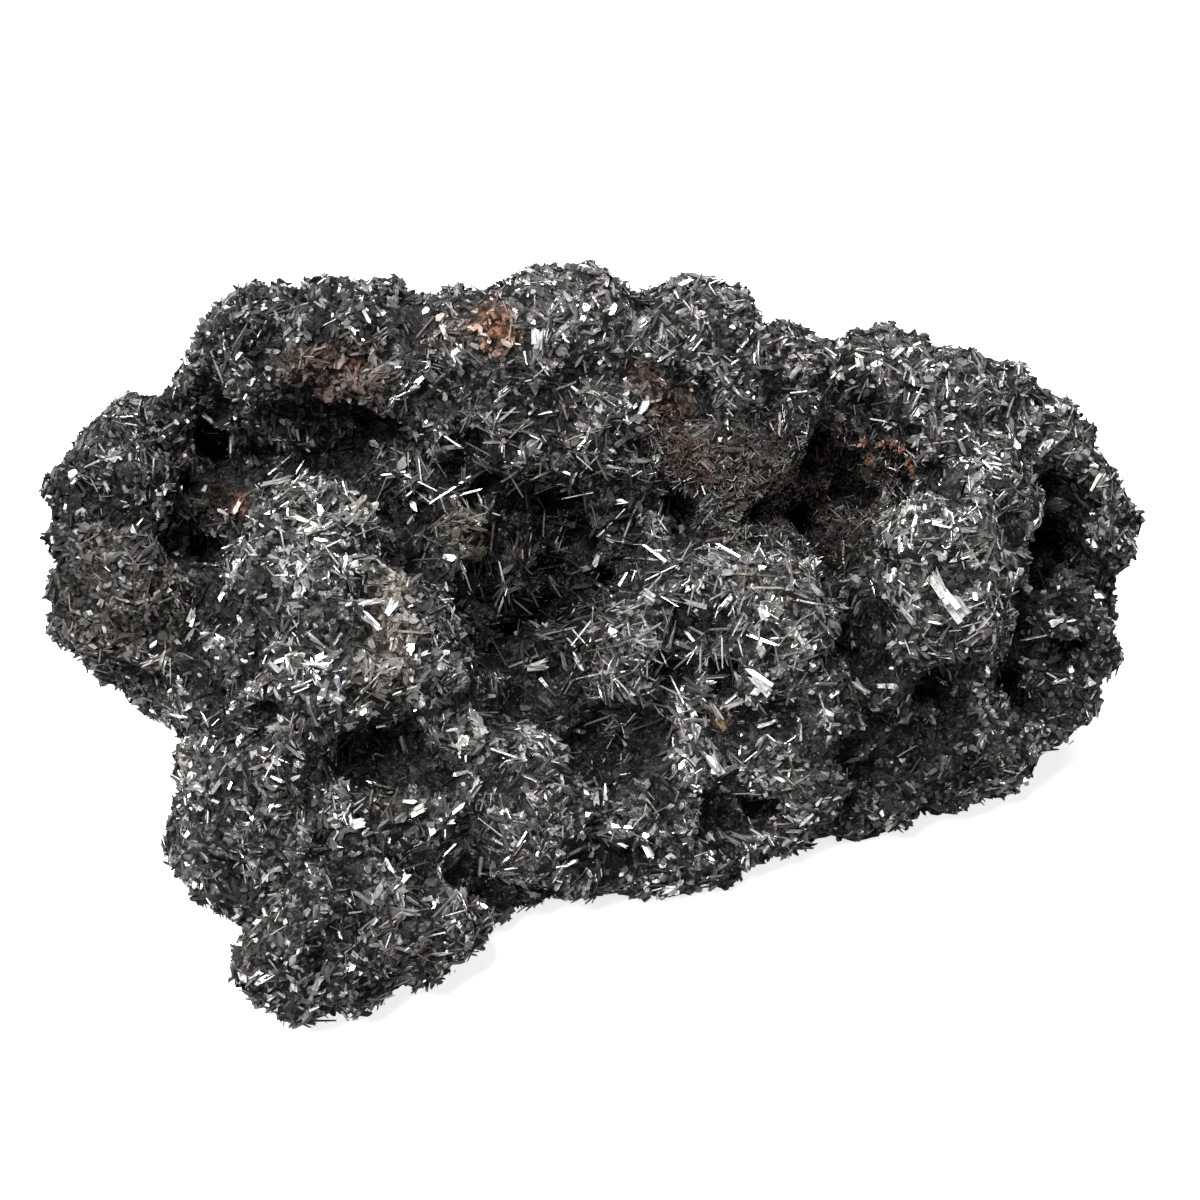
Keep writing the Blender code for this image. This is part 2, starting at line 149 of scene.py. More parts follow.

# The crystals that stand out, coloured pale grey as painted glints: (middle in millimetres, length, width, slant in
# degrees as the camera sees it)
PAINTED_GLINT_BLADES = [
    ((34.5, -7, 31), 5.2, 1.5, 116), ((36, -8.2, 29.6), 3.6, 1.7, 128), ((16.8, -12.5, 23.1), 3.6, 1.4, 135),
    ((-27.7, -3.4, 35.6), 2.6, 1, 21), ((-34.9, -20.4, 23.1), 3, 1.1, 79), ((-42.1, -0.9, 19.2), 2.6, 1.2, 77),
    ((-5.9, 19.1, 40), 2.6, 1.5, 86), ((12.4, -17.8, 16), 3, 1.1, 131), ((-11.9, -21.2, 16.6), 3, 1, 49),
    ((-5.8, -6, 17.3), 2.8, 1, 5), ((5.2, -23.1, 9.2), 3.2, 1.1, 120), ((12.7, -1.1, 28.9), 2.7, 0.8, 174),
    ((-54.7, 12.3, 26.9), 1.7, 1.1, 33), ((-34, 16, 21.7), 3.8, 0.6, 11), ((16.6, -8.7, 29.4), 2.2, 1.4, 111),
    ((-28.3, 2.8, 34.2), 2.2, 0.8, 124), ((32.2, 22.4, 35.2), 1.9, 1, 36), ((-23.9, 15.1, 18.5), 1.6, 1.2, 11),
    ((-29.4, -16.8, 31.1), 2.6, 0.6, 108), ((-21.6, -11.2, 30.8), 2.6, 0.7, 141),
    ((-22.8, -27.3, 19.3), 1.8, 1, 5), ((12.4, -12.4, 18.1), 3.5, 0.5, 121), ((-19.8, -10, 31.7), 2, 0.8, 62),
    ((31.2, -7.9, 27.8), 3, 0.8, 133), ((-26.9, -16.3, 30.6), 3.4, 0.45, 173),
    ((-26.6, -39.5, 9.9), 1.8, 0.9, 65), ((-17.3, -24.5, 17.7), 1.8, 1, 27), ((13.7, -5.9, 28.1), 2.7, 0.6, 52),
    ((-30.7, -16.4, 30.5), 2.1, 0.8, 136), ((12.1, -20.8, 7.4), 1.4, 1.1, 116),
    ((-21.8, -9.3, 31.6), 2.6, 0.6, 15), ((-15.8, 22, 38.3), 1.8, 0.9, 105), ((0.9, 9.9, 16.9), 1.2, 1, 80),
    ((-25, -18.1, 27.8), 2, 0.8, 139), ((45.5, 1.8, 20.4), 1.4, 1, 165), ((-19, 19.1, 32.9), 1.9, 0.6, 18),
    ((-43.4, -8.6, 12.3), 2.3, 0.5, 171), ((28.1, 20.6, 35.1), 1.5, 0.9, 93),
    ((-41.7, 21.1, 26.5), 1.7, 0.7, 142), ((-13.8, 3.3, 22.9), 2.1, 0.6, 119),
    ((-28.3, 24.7, 39.9), 1.8, 0.6, 121), ((-31.1, -40.1, 8.5), 1.7, 0.6, 26),
    ((-27.1, -13.2, 30.5), 2.6, 0.4, 144), ((27.3, -9.1, 17.9), 2.7, 0.6, 133),
    ((27.4, -1.2, 15.5), 2.6, 0.4, 101), ((-1.5, -8, 20.3), 2.3, 0.5, 121), ((21.4, 20.7, 33.8), 2, 0.6, 45),
    ((17.8, -13.3, 17.1), 2.4, 0.4, 22), ((5.6, -5, 27.6), 1.8, 0.7, 142),
]

# Where the outline that the camera sees stands out further or less far than the solids: (right of the picture's
# middle, above it, how much further), in millimetres at the specimen's distance
OUTLINE_PUSHES = [
    (22.2, 29.6, -1.6), (26.9, 29.6, -1.9), (31.2, 29.1, -1.1), (31.8, 26, 1.7), (49.3, 18.8, 1.1),
    (54.8, -7.8, -0.8), (52.4, -12, -0.9), (48.3, -15.5, -0.7), (35, -21.5, 1), (30.3, -23.3, 0.7),
    (25.7, -24.2, 0.6), (21, -24.4, 1), (2.6, -28.9, 1.8), (-6.7, -33.4, -2.4), (-11.4, -33, 1.1),
    (-14.9, -33.4, 3.4), (-16.4, -38, 0.8), (-19.7, -41.4, -1), (-24.3, -41.2, 1.5), (-33.5, -43, 0.7),
    (-36.4, -39.4, 1.4), (-39.2, -34.8, -1.1), (-41.4, -16.5, 2.5), (-49.4, -11, -0.6), (-53.2, -6.6, 0.9),
    (-56.2, -2.2, 1.1), (-55.9, 2.3, 1.7), (-54.8, 7, 3.4), (-57.1, 11.5, 1.1), (-55.3, 14.4, 0.6),
    (-54.3, 19.1, -0.9), (-49.6, 20.5, 0.8), (-45, 20, 1.7), (-43, 28.7, -1.1), (-38.5, 30.7, 1.1),
    (-33.9, 30.8, 2), (-29.3, 32.8, 0.7), (-24.7, 34.5, -0.6), (-15.5, 33.6, -0.7), (-10.9, 31.8, 0.8),
]
PUSH_RADIUS = 4.6

# The camera, in millimetres: where it is, what it looks at, and how far that is
CAMERA_PLACE = (0.697, -160.86, 212.51)
PICTURE_MIDDLE = (0.697, -0.280, 21.139)
CAMERA_DISTANCE = 249.8
CAMERA_LENS = 71.83
# Soft lights: (name, place, size, power), in metres and watts, all turned to the specimen's middle
SOFTBOXES = (
    ("key_window", (-0.40, -0.22, 0.92), (0.46, 0.36), 22.0),
    ("back_window", (0.10, 0.75, 0.60), (0.80, 0.30), 7.0),
    ("overhead", (-0.10, -0.10, 1.10), (0.25, 0.25), 9.0),
    ("right_fill", (0.80, -0.35, 0.45), (0.30, 0.40), 1.8),
    ("front_fill", (-0.20, -0.90, 0.35), (0.60, 0.25), 3.0),
)
LIT_POINT = (0.0, 0.0, 0.02)
SKY = (0.10, 0.10, 0.105, 1.0)
BACKDROP = (1.0, 1.0, 1.0, 1.0)
FLOOR_RADIUS = 12.0

# The groundmass. A pit is PIT_DEPTH times as deep as its radius, up to the deepest.
GROUND_VOXEL = 0.64 * MM
GROUND_INSET = 0.12 * MM
FLOOR_GAP = 0.03 * MM
PIT_DEPTH = 2.2
DEEPEST_PIT = 4.7 * MM
# Its roughness, coarse to fine: (name, texture, spacing, the texture's level that moves nothing, height)
ROUGHENING = (
    ("ragged", "CLOUDS", 5.0 * MM, 0.52, 2.1 * MM),
    ("knobs", "VORONOI", 3.2 * MM, 0.45, -1.3 * MM),
    ("buds", "VORONOI", 1.5 * MM, 0.45, -0.75 * MM),
)
# Its finish: grains and crumbs a metre, how steeply each size of grain leans, and how metallic they are
COARSE_GRAINS = (1500.0, 1.0)
FINE_GRAINS = (3600.0, 0.9)
GROUND_CRUMBS = 900.0
GROUND_METAL = 0.55

# How many crystals of each kind
CRUMBS = 12000
CRYSTALS = 17500
SPRAYS = 1300
BLADE_GROUPS = 700
LEAVES = 800
LONG_NEEDLES = 1000
MOSS_THREADS = 6000
CRUMBS_A_STRIP = 90
# Length, width and thickness of each kind, each as (middle, spread, least, most), in millimetres
SIZES = {
    "crumb": ((0.66, 0.38, 0.3, 1.6), (0.62, 0.38, 0.25, 1.4), (0.48, 0.3, 0.2, 1.1)),
    "needle": ((1.75, 0.38, 0.7, 4.2), (0.19, 0.30, 0.10, 0.4), (0.13, 0.25, 0.08, 0.24)),
    "blade": ((1.6, 0.36, 0.7, 3.4), (0.42, 0.36, 0.20, 1.1), (0.14, 0.25, 0.08, 0.26)),
    "notched": ((1.4, 0.34, 0.6, 2.8), (0.50, 0.32, 0.28, 1.1), (0.14, 0.25, 0.08, 0.26)),
    "flake": ((0.80, 0.38, 0.35, 1.9), (0.76, 0.36, 0.3, 1.8), (0.16, 0.25, 0.08, 0.30)),
    "long needle": ((3.6, 0.22, 2.4, 5.6), (0.22, 0.22, 0.15, 0.38), (0.16, 0.2, 0.10, 0.26)),
    "spray": ((1.9, 0.28, 0.9, 4.0), (0.21, 0.25, 0.12, 0.4), (0.14, 0.25, 0.08, 0.25)),
    "pack": ((1.9, 0.30, 0.9, 3.8), (0.34, 0.3, 0.18, 0.8), (0.14, 0.25, 0.08, 0.26)),
    "leaf": ((1.7, 0.30, 0.9, 3.0), (0.40, 0.25, 0.22, 0.7), (0.12, 0.25, 0.07, 0.2)),
    "moss": ((0.85, 0.35, 0.4, 1.8), (0.11, 0.2, 0.07, 0.18)),
    "rust": ((0.30, 0.35, 0.14, 0.6),),
}
# The kinds that single crystals are, along a scale that chance and place set: (kind, from, up to)
SINGLE_KINDS = (("needle", -9.0, 0.31), ("blade", 0.31, 0.57), ("notched", 0.57, 0.70), ("flake", 0.70, 9.0))
# The crumbs' three shapes: (name, their share, size of the top, its shift, slope of the top, skew)
CRUMB_SHAPES = (
    ("crumb_a", 0.40, (0.66, 0.58), (0.10, -0.05), 0.20, 0.10),
    ("crumb_b", 0.35, (0.45, 0.80), (-0.12, 0.08), 0.12, -0.14),
    ("crumb_c", 0.25, (0.80, 0.50), (0.05, 0.14), 0.30, 0.05),
)
# How deep a crystal is rooted: a length for all, and a share of its own length
ROOT_DEPTH = 0.25 * MM
ROOT_SHARE = 0.08
LOWEST_CRYSTAL = 0.3 * MM
# How far a crystal's tip may stand off the surface, and how far where long needles stand free
LOW_REACH = 0.85 * MM
HIGH_REACH = 3.0 * MM
# How often the surface is evened out before its hollows and lumps are measured from it
HOLLOW_ROUNDS = 45
TRIANGLES_A_PIECE = 197000

# The crystals' brightness: how much they differ by chance, and how much painted light and painted shade raise or
# lower it by place, as powers of e
TONE_CHANCE = 0.92
PAINTED_LIGHT_RAISES = 0.45
PAINTED_SHADE_LOWERS = 0.75
PIT_PAINTED_SHADE = 2.0
HOLLOW_PAINTED_SHADE = 1.3
SPARSE_PAINTED_SHADE_NEEDLES = 0.5
SPARSE_PAINTED_SHADE_OTHERS = 1.2
# The share of crystals coloured pale grey as painted glints, in most places
PAINTED_GLINT_SHARE = 0.04
# Their finish: lines across and along a millimetre, dust specks a metre
LINES_ACROSS = 9.0
LINES_ALONG = 0.55
DUST = 2600.0


# Mesh helpers


def only(obj):
    """Leaves this one object selected and active."""
    bpy.ops.object.select_all(action="DESELECT")
    obj.select_set(True)
    bpy.context.view_layer.objects.active = obj


def apply_modifier(obj, kind, **settings):
    only(obj)
    bpy.ops.object.modifier_add(type=kind)
    modifier = obj.modifiers[-1]
    for name, value in settings.items():
        setattr(modifier, name, value)
    bpy.ops.object.modifier_apply(modifier=modifier.name)


def read(items, field, width=1, kind=np.int32):
    """One field of all the items, a row an item."""
    values = np.empty(len(items) * width, kind)
    items.foreach_get(field, values)
    return values.reshape(-1, width) if width > 1 else values


def mesh_arrays(mesh):
    """Corner points, and the corner indices of its triangles."""
    mesh.calc_loop_triangles()
    points = read(mesh.vertices, "co", 3, np.float32).astype(float)
    return points, read(mesh.loop_triangles, "vertices", 3)


def move_points(mesh, points):
    mesh.vertices.foreach_set("co", points.astype(np.float32).ravel())
    mesh.update()


def unit(vectors):
    return vectors / np.maximum(np.linalg.norm(vectors, axis=-1, keepdims=True), 1e-12)


def nearness(points, places):
    """From 1 near a place's centre to 0 at its edge and beyond, for the nearest of the places. Points in metres."""
    best = np.zeros(len(points))
    for centre, radius in places:
        away = np.linalg.norm(points / MM - centre, axis=1) / radius
        best = np.maximum(best, np.clip(PLACE_EDGE - away, 0, 1) ** 0.7)
    return np.clip(best, 0, 1)


def cloudiness(points, size, seed):
    """Smooth noise from about -1 to 1 with features of that size, at each point."""
    shift = Vector((seed * 17.3, seed * 5.1, seed * 9.7))
    return np.array([noise.noise(Vector(p) / size + shift) for p in points])


def stained(points, colours):
    """The colours with the stains laid over them in ragged patches, and how much of each is covered."""
    covered = np.zeros(len(points))
    ragged = cloudiness(points, 1.3 * MM, 3) * 0.6 + cloudiness(points, 0.5 * MM, 4) * 0.5
    for centre, radius, tint, strength in STAINS:
        away = np.linalg.norm(points / MM - centre, axis=1) / radius
        cover = np.clip((1.15 - away + ragged * 0.9) * 1.6, 0, 1) * np.clip(2.2 - away, 0, 1) * strength
        shade = np.array(tint) * chance.uniform(0.55, 1.25, (len(points), 1))
        colours = colours * (1 - cover[:, None]) + shade * cover[:, None]
        covered = np.maximum(covered, cover)
    return colours, covered


def set_attribute(mesh, name, values):
    """One number a corner, or a colour a corner where the values have three columns."""
    kind, field = ("FLOAT", "value") if values.ndim == 1 else ("FLOAT_COLOR", "color")
    if values.ndim > 1:
        values = np.concatenate([values, np.ones((len(values), 1))], axis=1)
    mesh.attributes.new(name, kind, "POINT").data.foreach_set(field, values.astype(np.float32).ravel())


# Materials


class Value:
    """A shader socket that takes part in sums, so that node maths reads as an expression."""

    def __init__(self, nodes, socket):
        self.nodes = nodes
        self.socket = socket

    def joined(self, operation, first, second):
        return self.nodes.add("Math", {"operation": operation}, {0: first, 1: second})

    def __add__(self, other):
        return self.joined("ADD", self, other)

    def __sub__(self, other):
        return self.joined("SUBTRACT", self, other)

    def __mul__(self, other):
        return self.joined("MULTIPLY", self, other)

    def __rsub__(self, other):
        return self.joined("SUBTRACT", other, self)

    __radd__ = __add__
    __rmul__ = __mul__


class Nodes:
    """The nodes of one new material, or of the world."""

    def __init__(self, owner, shader="Principled BSDF"):
        self.owner = owner
        owner.use_nodes = True
        self.tree = owner.node_tree
        self.shader = self.tree.nodes[shader]

    def add(self, kind, settings=None, inputs=None, output=0):
        """A node of that type, its settings made first and then the values or links of its sockets."""
        node = self.tree.nodes.new("ShaderNode" + kind)
        for name, value in (settings or {}).items():
            if name == "stops":
                self.set_stops(node.color_ramp.elements, value)
            else:
                setattr(node, name, value)
        for name, value in (inputs or {}).items():
            self.put(node.inputs[name], value)
        return Value(self, node.outputs[output])

    def set_stops(self, elements, stops):
        """A ramp's stops, as (position, grey level)."""
        while len(elements) < len(stops):
            elements.new(0.5)
        for element, (position, level) in zip(elements, stops):
            element.position = position
            element.color = (level, level, level, 1.0)

    def put(self, socket, value):
        if isinstance(value, Value):
            self.tree.links.new(value.socket, socket)
        else:
            socket.default_value = value

    def ramp(self, value, stops):
        return self.add("ValToRGB", {"stops": stops}, {0: value})

    def mix(self, factor, first, second, blend="MIX"):
        """Two colours mixed."""
        return self.add("Mix", {"data_type": "RGBA", "blend_type": blend}, {0: factor, 6: first, 7: second}, 2)

    def times(self, first, second):
        """Two colours multiplied."""
        return self.mix(1.0, first, second, "MULTIPLY")

    def facets(self, place, scale, tilt):
        """Flat grains that lean each its own way: a chance number for each, and the height that tilts it."""
        settings = {"Vector": place, "Scale": scale, "Randomness": 1.0}
        colour = self.add("TexVoronoi", {"feature": "F1"}, settings, "Color")
        middle = Value(self, colour.socket.node.outputs["Position"])
        away = self.add("VectorMath", {"operation": "SUBTRACT"}, {0: place, 1: middle})
        lean = self.add("VectorMath", {"operation": "SUBTRACT"}, {0: colour, 1: (0.5, 0.5, 0.5)})
        height = self.add("VectorMath", {"operation": "DOT_PRODUCT"}, {0: away, 1: lean}, 1)
        return self.add("SeparateColor", None, {0: colour}, 0), height * (2 * tilt)

    def coordinates(self):
        """The object's own coordinates."""
        return self.add("TexCoord", output="Object")

    def attribute(self, name, output):
        return self.add("Attribute", {"attribute_name": name}, output=output)

    def surface(self, **sockets):
        for name, value in sockets.items():
            self.put(self.shader.inputs[name.replace("_", " ")], value)
        return self.owner


def crystal_material(name, smoothest, roughest, line_depth):
    """Crystal with fine lines along it. Colour, polish and metal come from each crystal's own attributes."""
    nodes = Nodes(bpy.data.materials.new(name))
    metal = nodes.attribute("metal", "Fac")
    own = nodes.attribute("crystal_colour", "Color")
    polish = nodes.attribute("polish", "Fac")
    along = nodes.add("UVMap", {"uv_map": "along"})
    drawn = nodes.add("Mapping", None, {"Vector": along, "Scale": (LINES_ACROSS, LINES_ALONG, 1.0)})
    lines = nodes.add("TexNoise", None, {"Vector": drawn, "Scale": 1.0, "Detail": 3.0, "Roughness": 0.6})
    dust = nodes.add("TexNoise", None, {"Vector": nodes.coordinates(), "Scale": DUST, "Detail": 2.0})
    worn = nodes.ramp(lines, [(0.30, 0.45), (0.70, 1.0)])
    specks = nodes.ramp(dust, [(0.36, 0.55), (0.62, 1.0)])
    colour = nodes.times(nodes.times(own, worn), specks)
    roughness = smoothest + (1 - polish) * (roughest - smoothest) + (0.62 - dust) * 0.25
    relief = lines * 0.8 + dust * 0.35
    bump = nodes.add("Bump", None, {"Strength": 0.55, "Distance": line_depth, "Height": relief})
    return nodes.surface(Base_Color=colour, Roughness=roughness, Metallic=metal, Normal=bump)


def groundmass_material(name):
    """Dull dark oxide made of grains too fine to model, with glints where a grain is flat and smooth, and its
    lightest grains coloured lighter still as painted glints.
    """
    nodes = Nodes(bpy.data.materials.new(name))
    place = nodes.coordinates()
    own = nodes.attribute("crystal_colour", "Color")
    tone, coarse = nodes.facets(place, *COARSE_GRAINS)
    _, fine = nodes.facets(place, *FINE_GRAINS)
    crumbs = nodes.add("TexNoise", None, {"Vector": place, "Scale": GROUND_CRUMBS, "Detail": 5.0, "Roughness": 0.65})
    # The lightest grains get a colour up to three times brighter: painted glints, beside their real lower roughness
    shade = nodes.ramp(tone, [(0.0, 0.22), (0.55, 0.55), (0.84, 1.0), (0.93, 3.2)])
    dirt = nodes.ramp(crumbs, [(0.36, 0.20), (0.64, 1.0)])
    colour = nodes.times(nodes.times(own, shade), dirt)
    roughness = nodes.ramp(tone, [(0.0, 0.62), (0.70, 0.45), (0.95, 0.24)])
    relief = coarse + fine + crumbs * 0.0005
    bump = nodes.add("Bump", None, {"Strength": 1.0, "Distance": 1.0, "Height": relief})
    return nodes.surface(Base_Color=colour, Roughness=roughness, Metallic=GROUND_METAL, Normal=bump)


# The groundmass


def make_groundmass():
    """A copy of the solids as one fine even skin, its large blades melted down and its surface budded all over."""
    copies = []
    bpy.ops.object.select_all(action="DESELECT")
    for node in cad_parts.values():
        copied = bpy.data.objects.new("copy", node.data.copy())
        bpy.context.scene.collection.objects.link(copied)
        copied.select_set(True)
        copies.append(copied)
    ground = copies[0]
    bpy.context.view_layer.objects.active = ground
    bpy.ops.object.join()
    ground.name = "oxide_groundmass"
    ground.data.name = "oxide_groundmass"
    bpy.ops.object.mode_set(mode="EDIT")
    bpy.ops.mesh.select_all(action="SELECT")
    bpy.ops.mesh.remove_doubles(threshold=1e-6)
    bpy.ops.object.mode_set(mode="OBJECT")
    apply_modifier(ground, "REMESH", mode="VOXEL", voxel_size=GROUND_VOXEL)
    apply_modifier(ground, "SMOOTH", factor=0.5, iterations=7)
    apply_modifier(ground, "DISPLACE", mid_level=0.0, strength=-GROUND_INSET)
    sink_pits(ground)
    apply_modifier(ground, "REMESH", mode="VOXEL", voxel_size=GROUND_VOXEL)
    for name, kind, spacing, level, height in ROUGHENING:
        texture = bpy.data.textures.new(name, kind)
        texture.noise_scale = spacing
        apply_modifier(ground, "DISPLACE", texture=texture, texture_coords="LOCAL", mid_level=level, strength=height)
        if name == "ragged":
            # Folds that the largest roughness leaves in narrow places are closed again
            apply_modifier(ground, "REMESH", mode="VOXEL", voxel_size=GROUND_VOXEL)
    rest_on_floor(ground)
    keep_main_shell(ground)
    only(ground)
    bpy.ops.object.shade_smooth()
    return ground


def inner_pits():
    """The small hollows without their rims."""
    return [(centre, radius * 0.75) for centre, radius in ALL_PITS]


def lay_out_faces(mesh):
    """A UV map with a small square of its own for every face, for baking."""
    count = len(mesh.polygons)
    starts, totals = read(mesh.polygons, "loop_start"), read(mesh.polygons, "loop_total")
    face = np.repeat(np.arange(count), totals)
    corner = np.arange(len(mesh.loops)) - np.repeat(starts, totals)
    side = math.ceil(math.sqrt(count))
    square = np.array([(0.08, 0.08), (0.92, 0.08), (0.92, 0.92), (0.08, 0.92)])
    place = (np.stack([face % side, face // side], axis=1) + square[corner % 4]) / side
    mesh.uv_layers.new(name="OFBake").uv.foreach_set("vector", place.astype(np.float32).ravel())


def rest_on_floor(ground):
    points, _ = mesh_arrays(ground.data)
    points[:, 2] = np.maximum(points[:, 2], FLOOR_GAP)
    move_points(ground.data, points)


def outline_push(points, normals):
    """How far, in millimetres, each corner on the outline that the camera sees is pushed out."""
    seen = points / MM - PICTURE_MIDDLE
    nearer = CAMERA_DISTANCE / (CAMERA_DISTANCE - seen @ TO_CAMERA)
    picture = np.stack([seen @ PICTURE_RIGHT, seen @ PICTURE_UP], axis=1) * nearer[:, None]
    edgewise = np.clip(1.7 * (1 - np.abs(normals @ TO_CAMERA)), 0, 1)
    total, shares = np.zeros(len(points)), np.full(len(points), 1e-6)
    for right, above, push in OUTLINE_PUSHES:
        share = np.clip(1 - np.linalg.norm(picture - (right, above), axis=1) / PUSH_RADIUS, 0, 1) ** 1.5
        total = total + share * push
        shares = shares + share
    return total / np.maximum(shares, 0.5) * edgewise


def sink_pits(ground):
    """Pushes the surface in at the small hollows, those of the photograph and chance ones on the sides it hides."""
    points, triangles = mesh_arrays(ground.data)
    normals = broad_normals(points, triangles, 8)
    hidden = np.flatnonzero((normals @ TO_CAMERA < 0.05) & (normals[:, 2] > -0.6) & (points[:, 2] > 4 * MM))
    extra = points[chance.choice(hidden, CHANCE_PITS, replace=False)] / MM
    ALL_PITS.extend(PITS)
    sizes = chance.uniform(*CHANCE_PIT_RADII, CHANCE_PITS)
    thick = np.linalg.norm(extra - THIN_WALL, axis=1) > THIN_WALL_RADIUS
    ALL_PITS.extend(zip(extra[thick].tolist(), sizes[thick].tolist()))
    sunk = np.zeros(len(points))
    uneven = 1.1 * cloudiness(points, 1.8 * MM, 15)
    for centre, radius in ALL_PITS:
        away = np.maximum(np.linalg.norm(points / MM - centre, axis=1) - 0.7, 0) / radius + uneven
        rise = np.clip(PLACE_EDGE - away, 0, 1)
        depth = min(radius * PIT_DEPTH * MM, DEEPEST_PIT)
        sunk = np.maximum(sunk, rise * rise * (3 - 2 * rise) * depth)
    move_points(ground.data, points - normals * sunk[:, None] + normals * outline_push(points, normals)[:, None] * MM)


def keep_main_shell(obj):
    """Deletes the small closed bubbles that remeshing leaves inside."""
    mesh = obj.data
    edges = read(mesh.edges, "vertices", 2)
    group = np.arange(len(mesh.vertices))
    while True:
        lower = np.minimum(group[edges[:, 0]], group[edges[:, 1]])
        before = group.copy()
        np.minimum.at(group, edges[:, 0], lower)
        np.minimum.at(group, edges[:, 1], lower)
        group = group[group]
        if (group == before).all():
            break
    names, sizes = np.unique(group, return_counts=True)
    stray = group != names[np.argmax(sizes)]
    if not stray.any():
        return
    only(obj)
    bpy.ops.object.mode_set(mode="EDIT")
    bpy.ops.mesh.select_mode(type="VERT")
    bpy.ops.mesh.select_all(action="DESELECT")
    bpy.ops.object.mode_set(mode="OBJECT")
    mesh.vertices.foreach_set("select", stray)
    bpy.ops.object.mode_set(mode="EDIT")
    bpy.ops.mesh.delete(type="VERT")
    bpy.ops.object.mode_set(mode="OBJECT")


def colour_groundmass(ground):
    points, triangles = mesh_arrays(ground.data)
    hollow = hollowness(points, triangles, broad_normals(points, triangles, 3), HOLLOW_ROUNDS)
    # Painted shade and light: darker in hollows, dull places, sparse places and pits, lighter on knobs, ridges and in
    # lit places
    level = (0.62 + 0.40 * cloudiness(points, 4.0 * MM, 8)) * np.exp(np.clip(-1.5 * hollow, -2.4, 0.6))
    level = level * (1 + 0.6 * nearness(points, PAINTED_LIGHT_AND_POLISH_PLACES) - 0.55 * nearness(points, PAINTED_SHADE_AND_DULL_PLACES))
    level = level * (1 - 0.90 * nearness(points, SPARSE))
    level = level * (1 - 0.85 * nearness(points, inner_pits()))
    colours = np.array(PAINTED_SHADE_BLACK) + (np.array(STEEL) * 0.42 - np.array(PAINTED_SHADE_BLACK)) * np.clip(level, 0, 1.4)[:, None]
    colours, _ = stained(points, colours)
    set_attribute(ground.data, "crystal_colour", colours)


# The crystals, each modelled once, growing along +Z from 0 to 1, one unit wide along X and thick along Y


def pick(crystal, wanted):
    """Selects the corners whose place is wanted."""
    bpy.ops.object.mode_set(mode="OBJECT")
    mesh = crystal.data
    chosen = [wanted(v.co) for v in mesh.vertices]
    mesh.polygons.foreach_set("select", [all(chosen[i] for i in p.vertices) for p in mesh.polygons])
    mesh.edges.foreach_set("select", [all(chosen[i] for i in e.vertices) for e in mesh.edges])
    mesh.vertices.foreach_set("select", chosen)
    bpy.ops.object.mode_set(mode="EDIT")


def crystal_shape(add, settings, *steps):
    """A crystal's shape as (points, faces). Each step picks corners by place, or keeps the last ones, and moves them."""
    bpy.ops.object.select_all(action="DESELECT")
    add(location=(0, 0, 0.5), **settings)
    crystal = bpy.context.object
    bpy.ops.object.transform_apply(location=True, rotation=True, scale=True)
    bpy.ops.object.mode_set(mode="EDIT")
    bpy.ops.mesh.select_mode(type="VERT")
    for wanted, move, value in steps:
        if wanted:
            pick(crystal, wanted)
        move(value=value)
    bpy.ops.object.mode_set(mode="OBJECT")
    points = np.array([v.co[:] for v in crystal.data.vertices])
    faces = [list(p.vertices) for p in crystal.data.polygons]
    bpy.data.objects.remove(crystal)
    return points, faces


def extrude(value):
    bpy.ops.mesh.extrude_region_move(TRANSFORM_OT_translate={"value": value})


def cut_across(value):
    bpy.ops.mesh.bisect(plane_co=value, plane_no=(1.0, 0.0, 0.0))


CUBE = (bpy.ops.mesh.primitive_cube_add, {"size": 1.0})
SIX_SIDED = (
    bpy.ops.mesh.primitive_cylinder_add,
    {"vertices": 6, "radius": 0.5, "depth": 1.0, "rotation": (math.pi / 2, 0.0, 0.0)},
)
resize, shift = bpy.ops.transform.resize, bpy.ops.transform.translate


def needle_shape():
    """A thin square bar, a little narrower to its slanting tip."""
    return crystal_shape(
        *CUBE,
        (lambda co: co.z > 0.5, resize, (0.62, 0.70, 1.0)),
        (lambda co: co.z > 0.5 and co.x > 0, shift, (0.0, 0.0, -0.10)),
    )


def blade_shape():
    """A flat lath whose end is a two-step chisel."""
    return crystal_shape(
        *CUBE,
        (lambda co: co.z > 0.5, shift, (0.0, 0.0, -0.22)),
        (None, extrude, (0.0, 0.0, 0.22)),
        (None, resize, (0.45, 0.55, 1.0)),
        (lambda co: co.z > 0.9 and co.x > 0, shift, (0.0, 0.0, -0.09)),
        (lambda co: co.z < 0.1, resize, (0.70, 1.0, 1.0)),
    )


def notched_shape():
    """A broad lath with a swallow-tail notch in its end."""
    return crystal_shape(
        *CUBE,
        (lambda co: True, cut_across, (0.05, 0.0, 0.0)),
        (lambda co: co.z > 0.5 and abs(co.x) < 0.2, shift, (0.0, 0.0, -0.24)),
        (lambda co: co.z > 0.5 and co.x < -0.2, shift, (0.08, 0.0, -0.08)),
    )


def flake_shape():
    """An uneven six-sided plate standing on one corner."""
    return crystal_shape(
        *SIX_SIDED,
        (lambda co: co.z > 0.7, resize, (0.8, 0.6, 1.0)),
        (lambda co: co.x > 0.3, shift, (0.10, 0.0, 0.12)),
        (lambda co: co.x < -0.3, shift, (0.04, 0.0, -0.10)),
    )


def crumb_shape(top_size, top_shift, drop, skew):
    """A stubby lump with slanting, uneven sides."""
    return crystal_shape(
        *CUBE,
        (lambda co: co.z > 0.5, resize, (*top_size, 1.0)),
        (None, shift, (*top_shift, 0.0)),
        (lambda co: co.z > 0.5 and co.x < top_shift[0], shift, (0.0, 0.0, -drop)),
        (lambda co: co.y > 0, shift, (skew, 0.0, skew)),
        (lambda co: co.z < 0.3 and co.x > 0, shift, (-0.18, 0.05, 0.10)),
    )


# Growing them


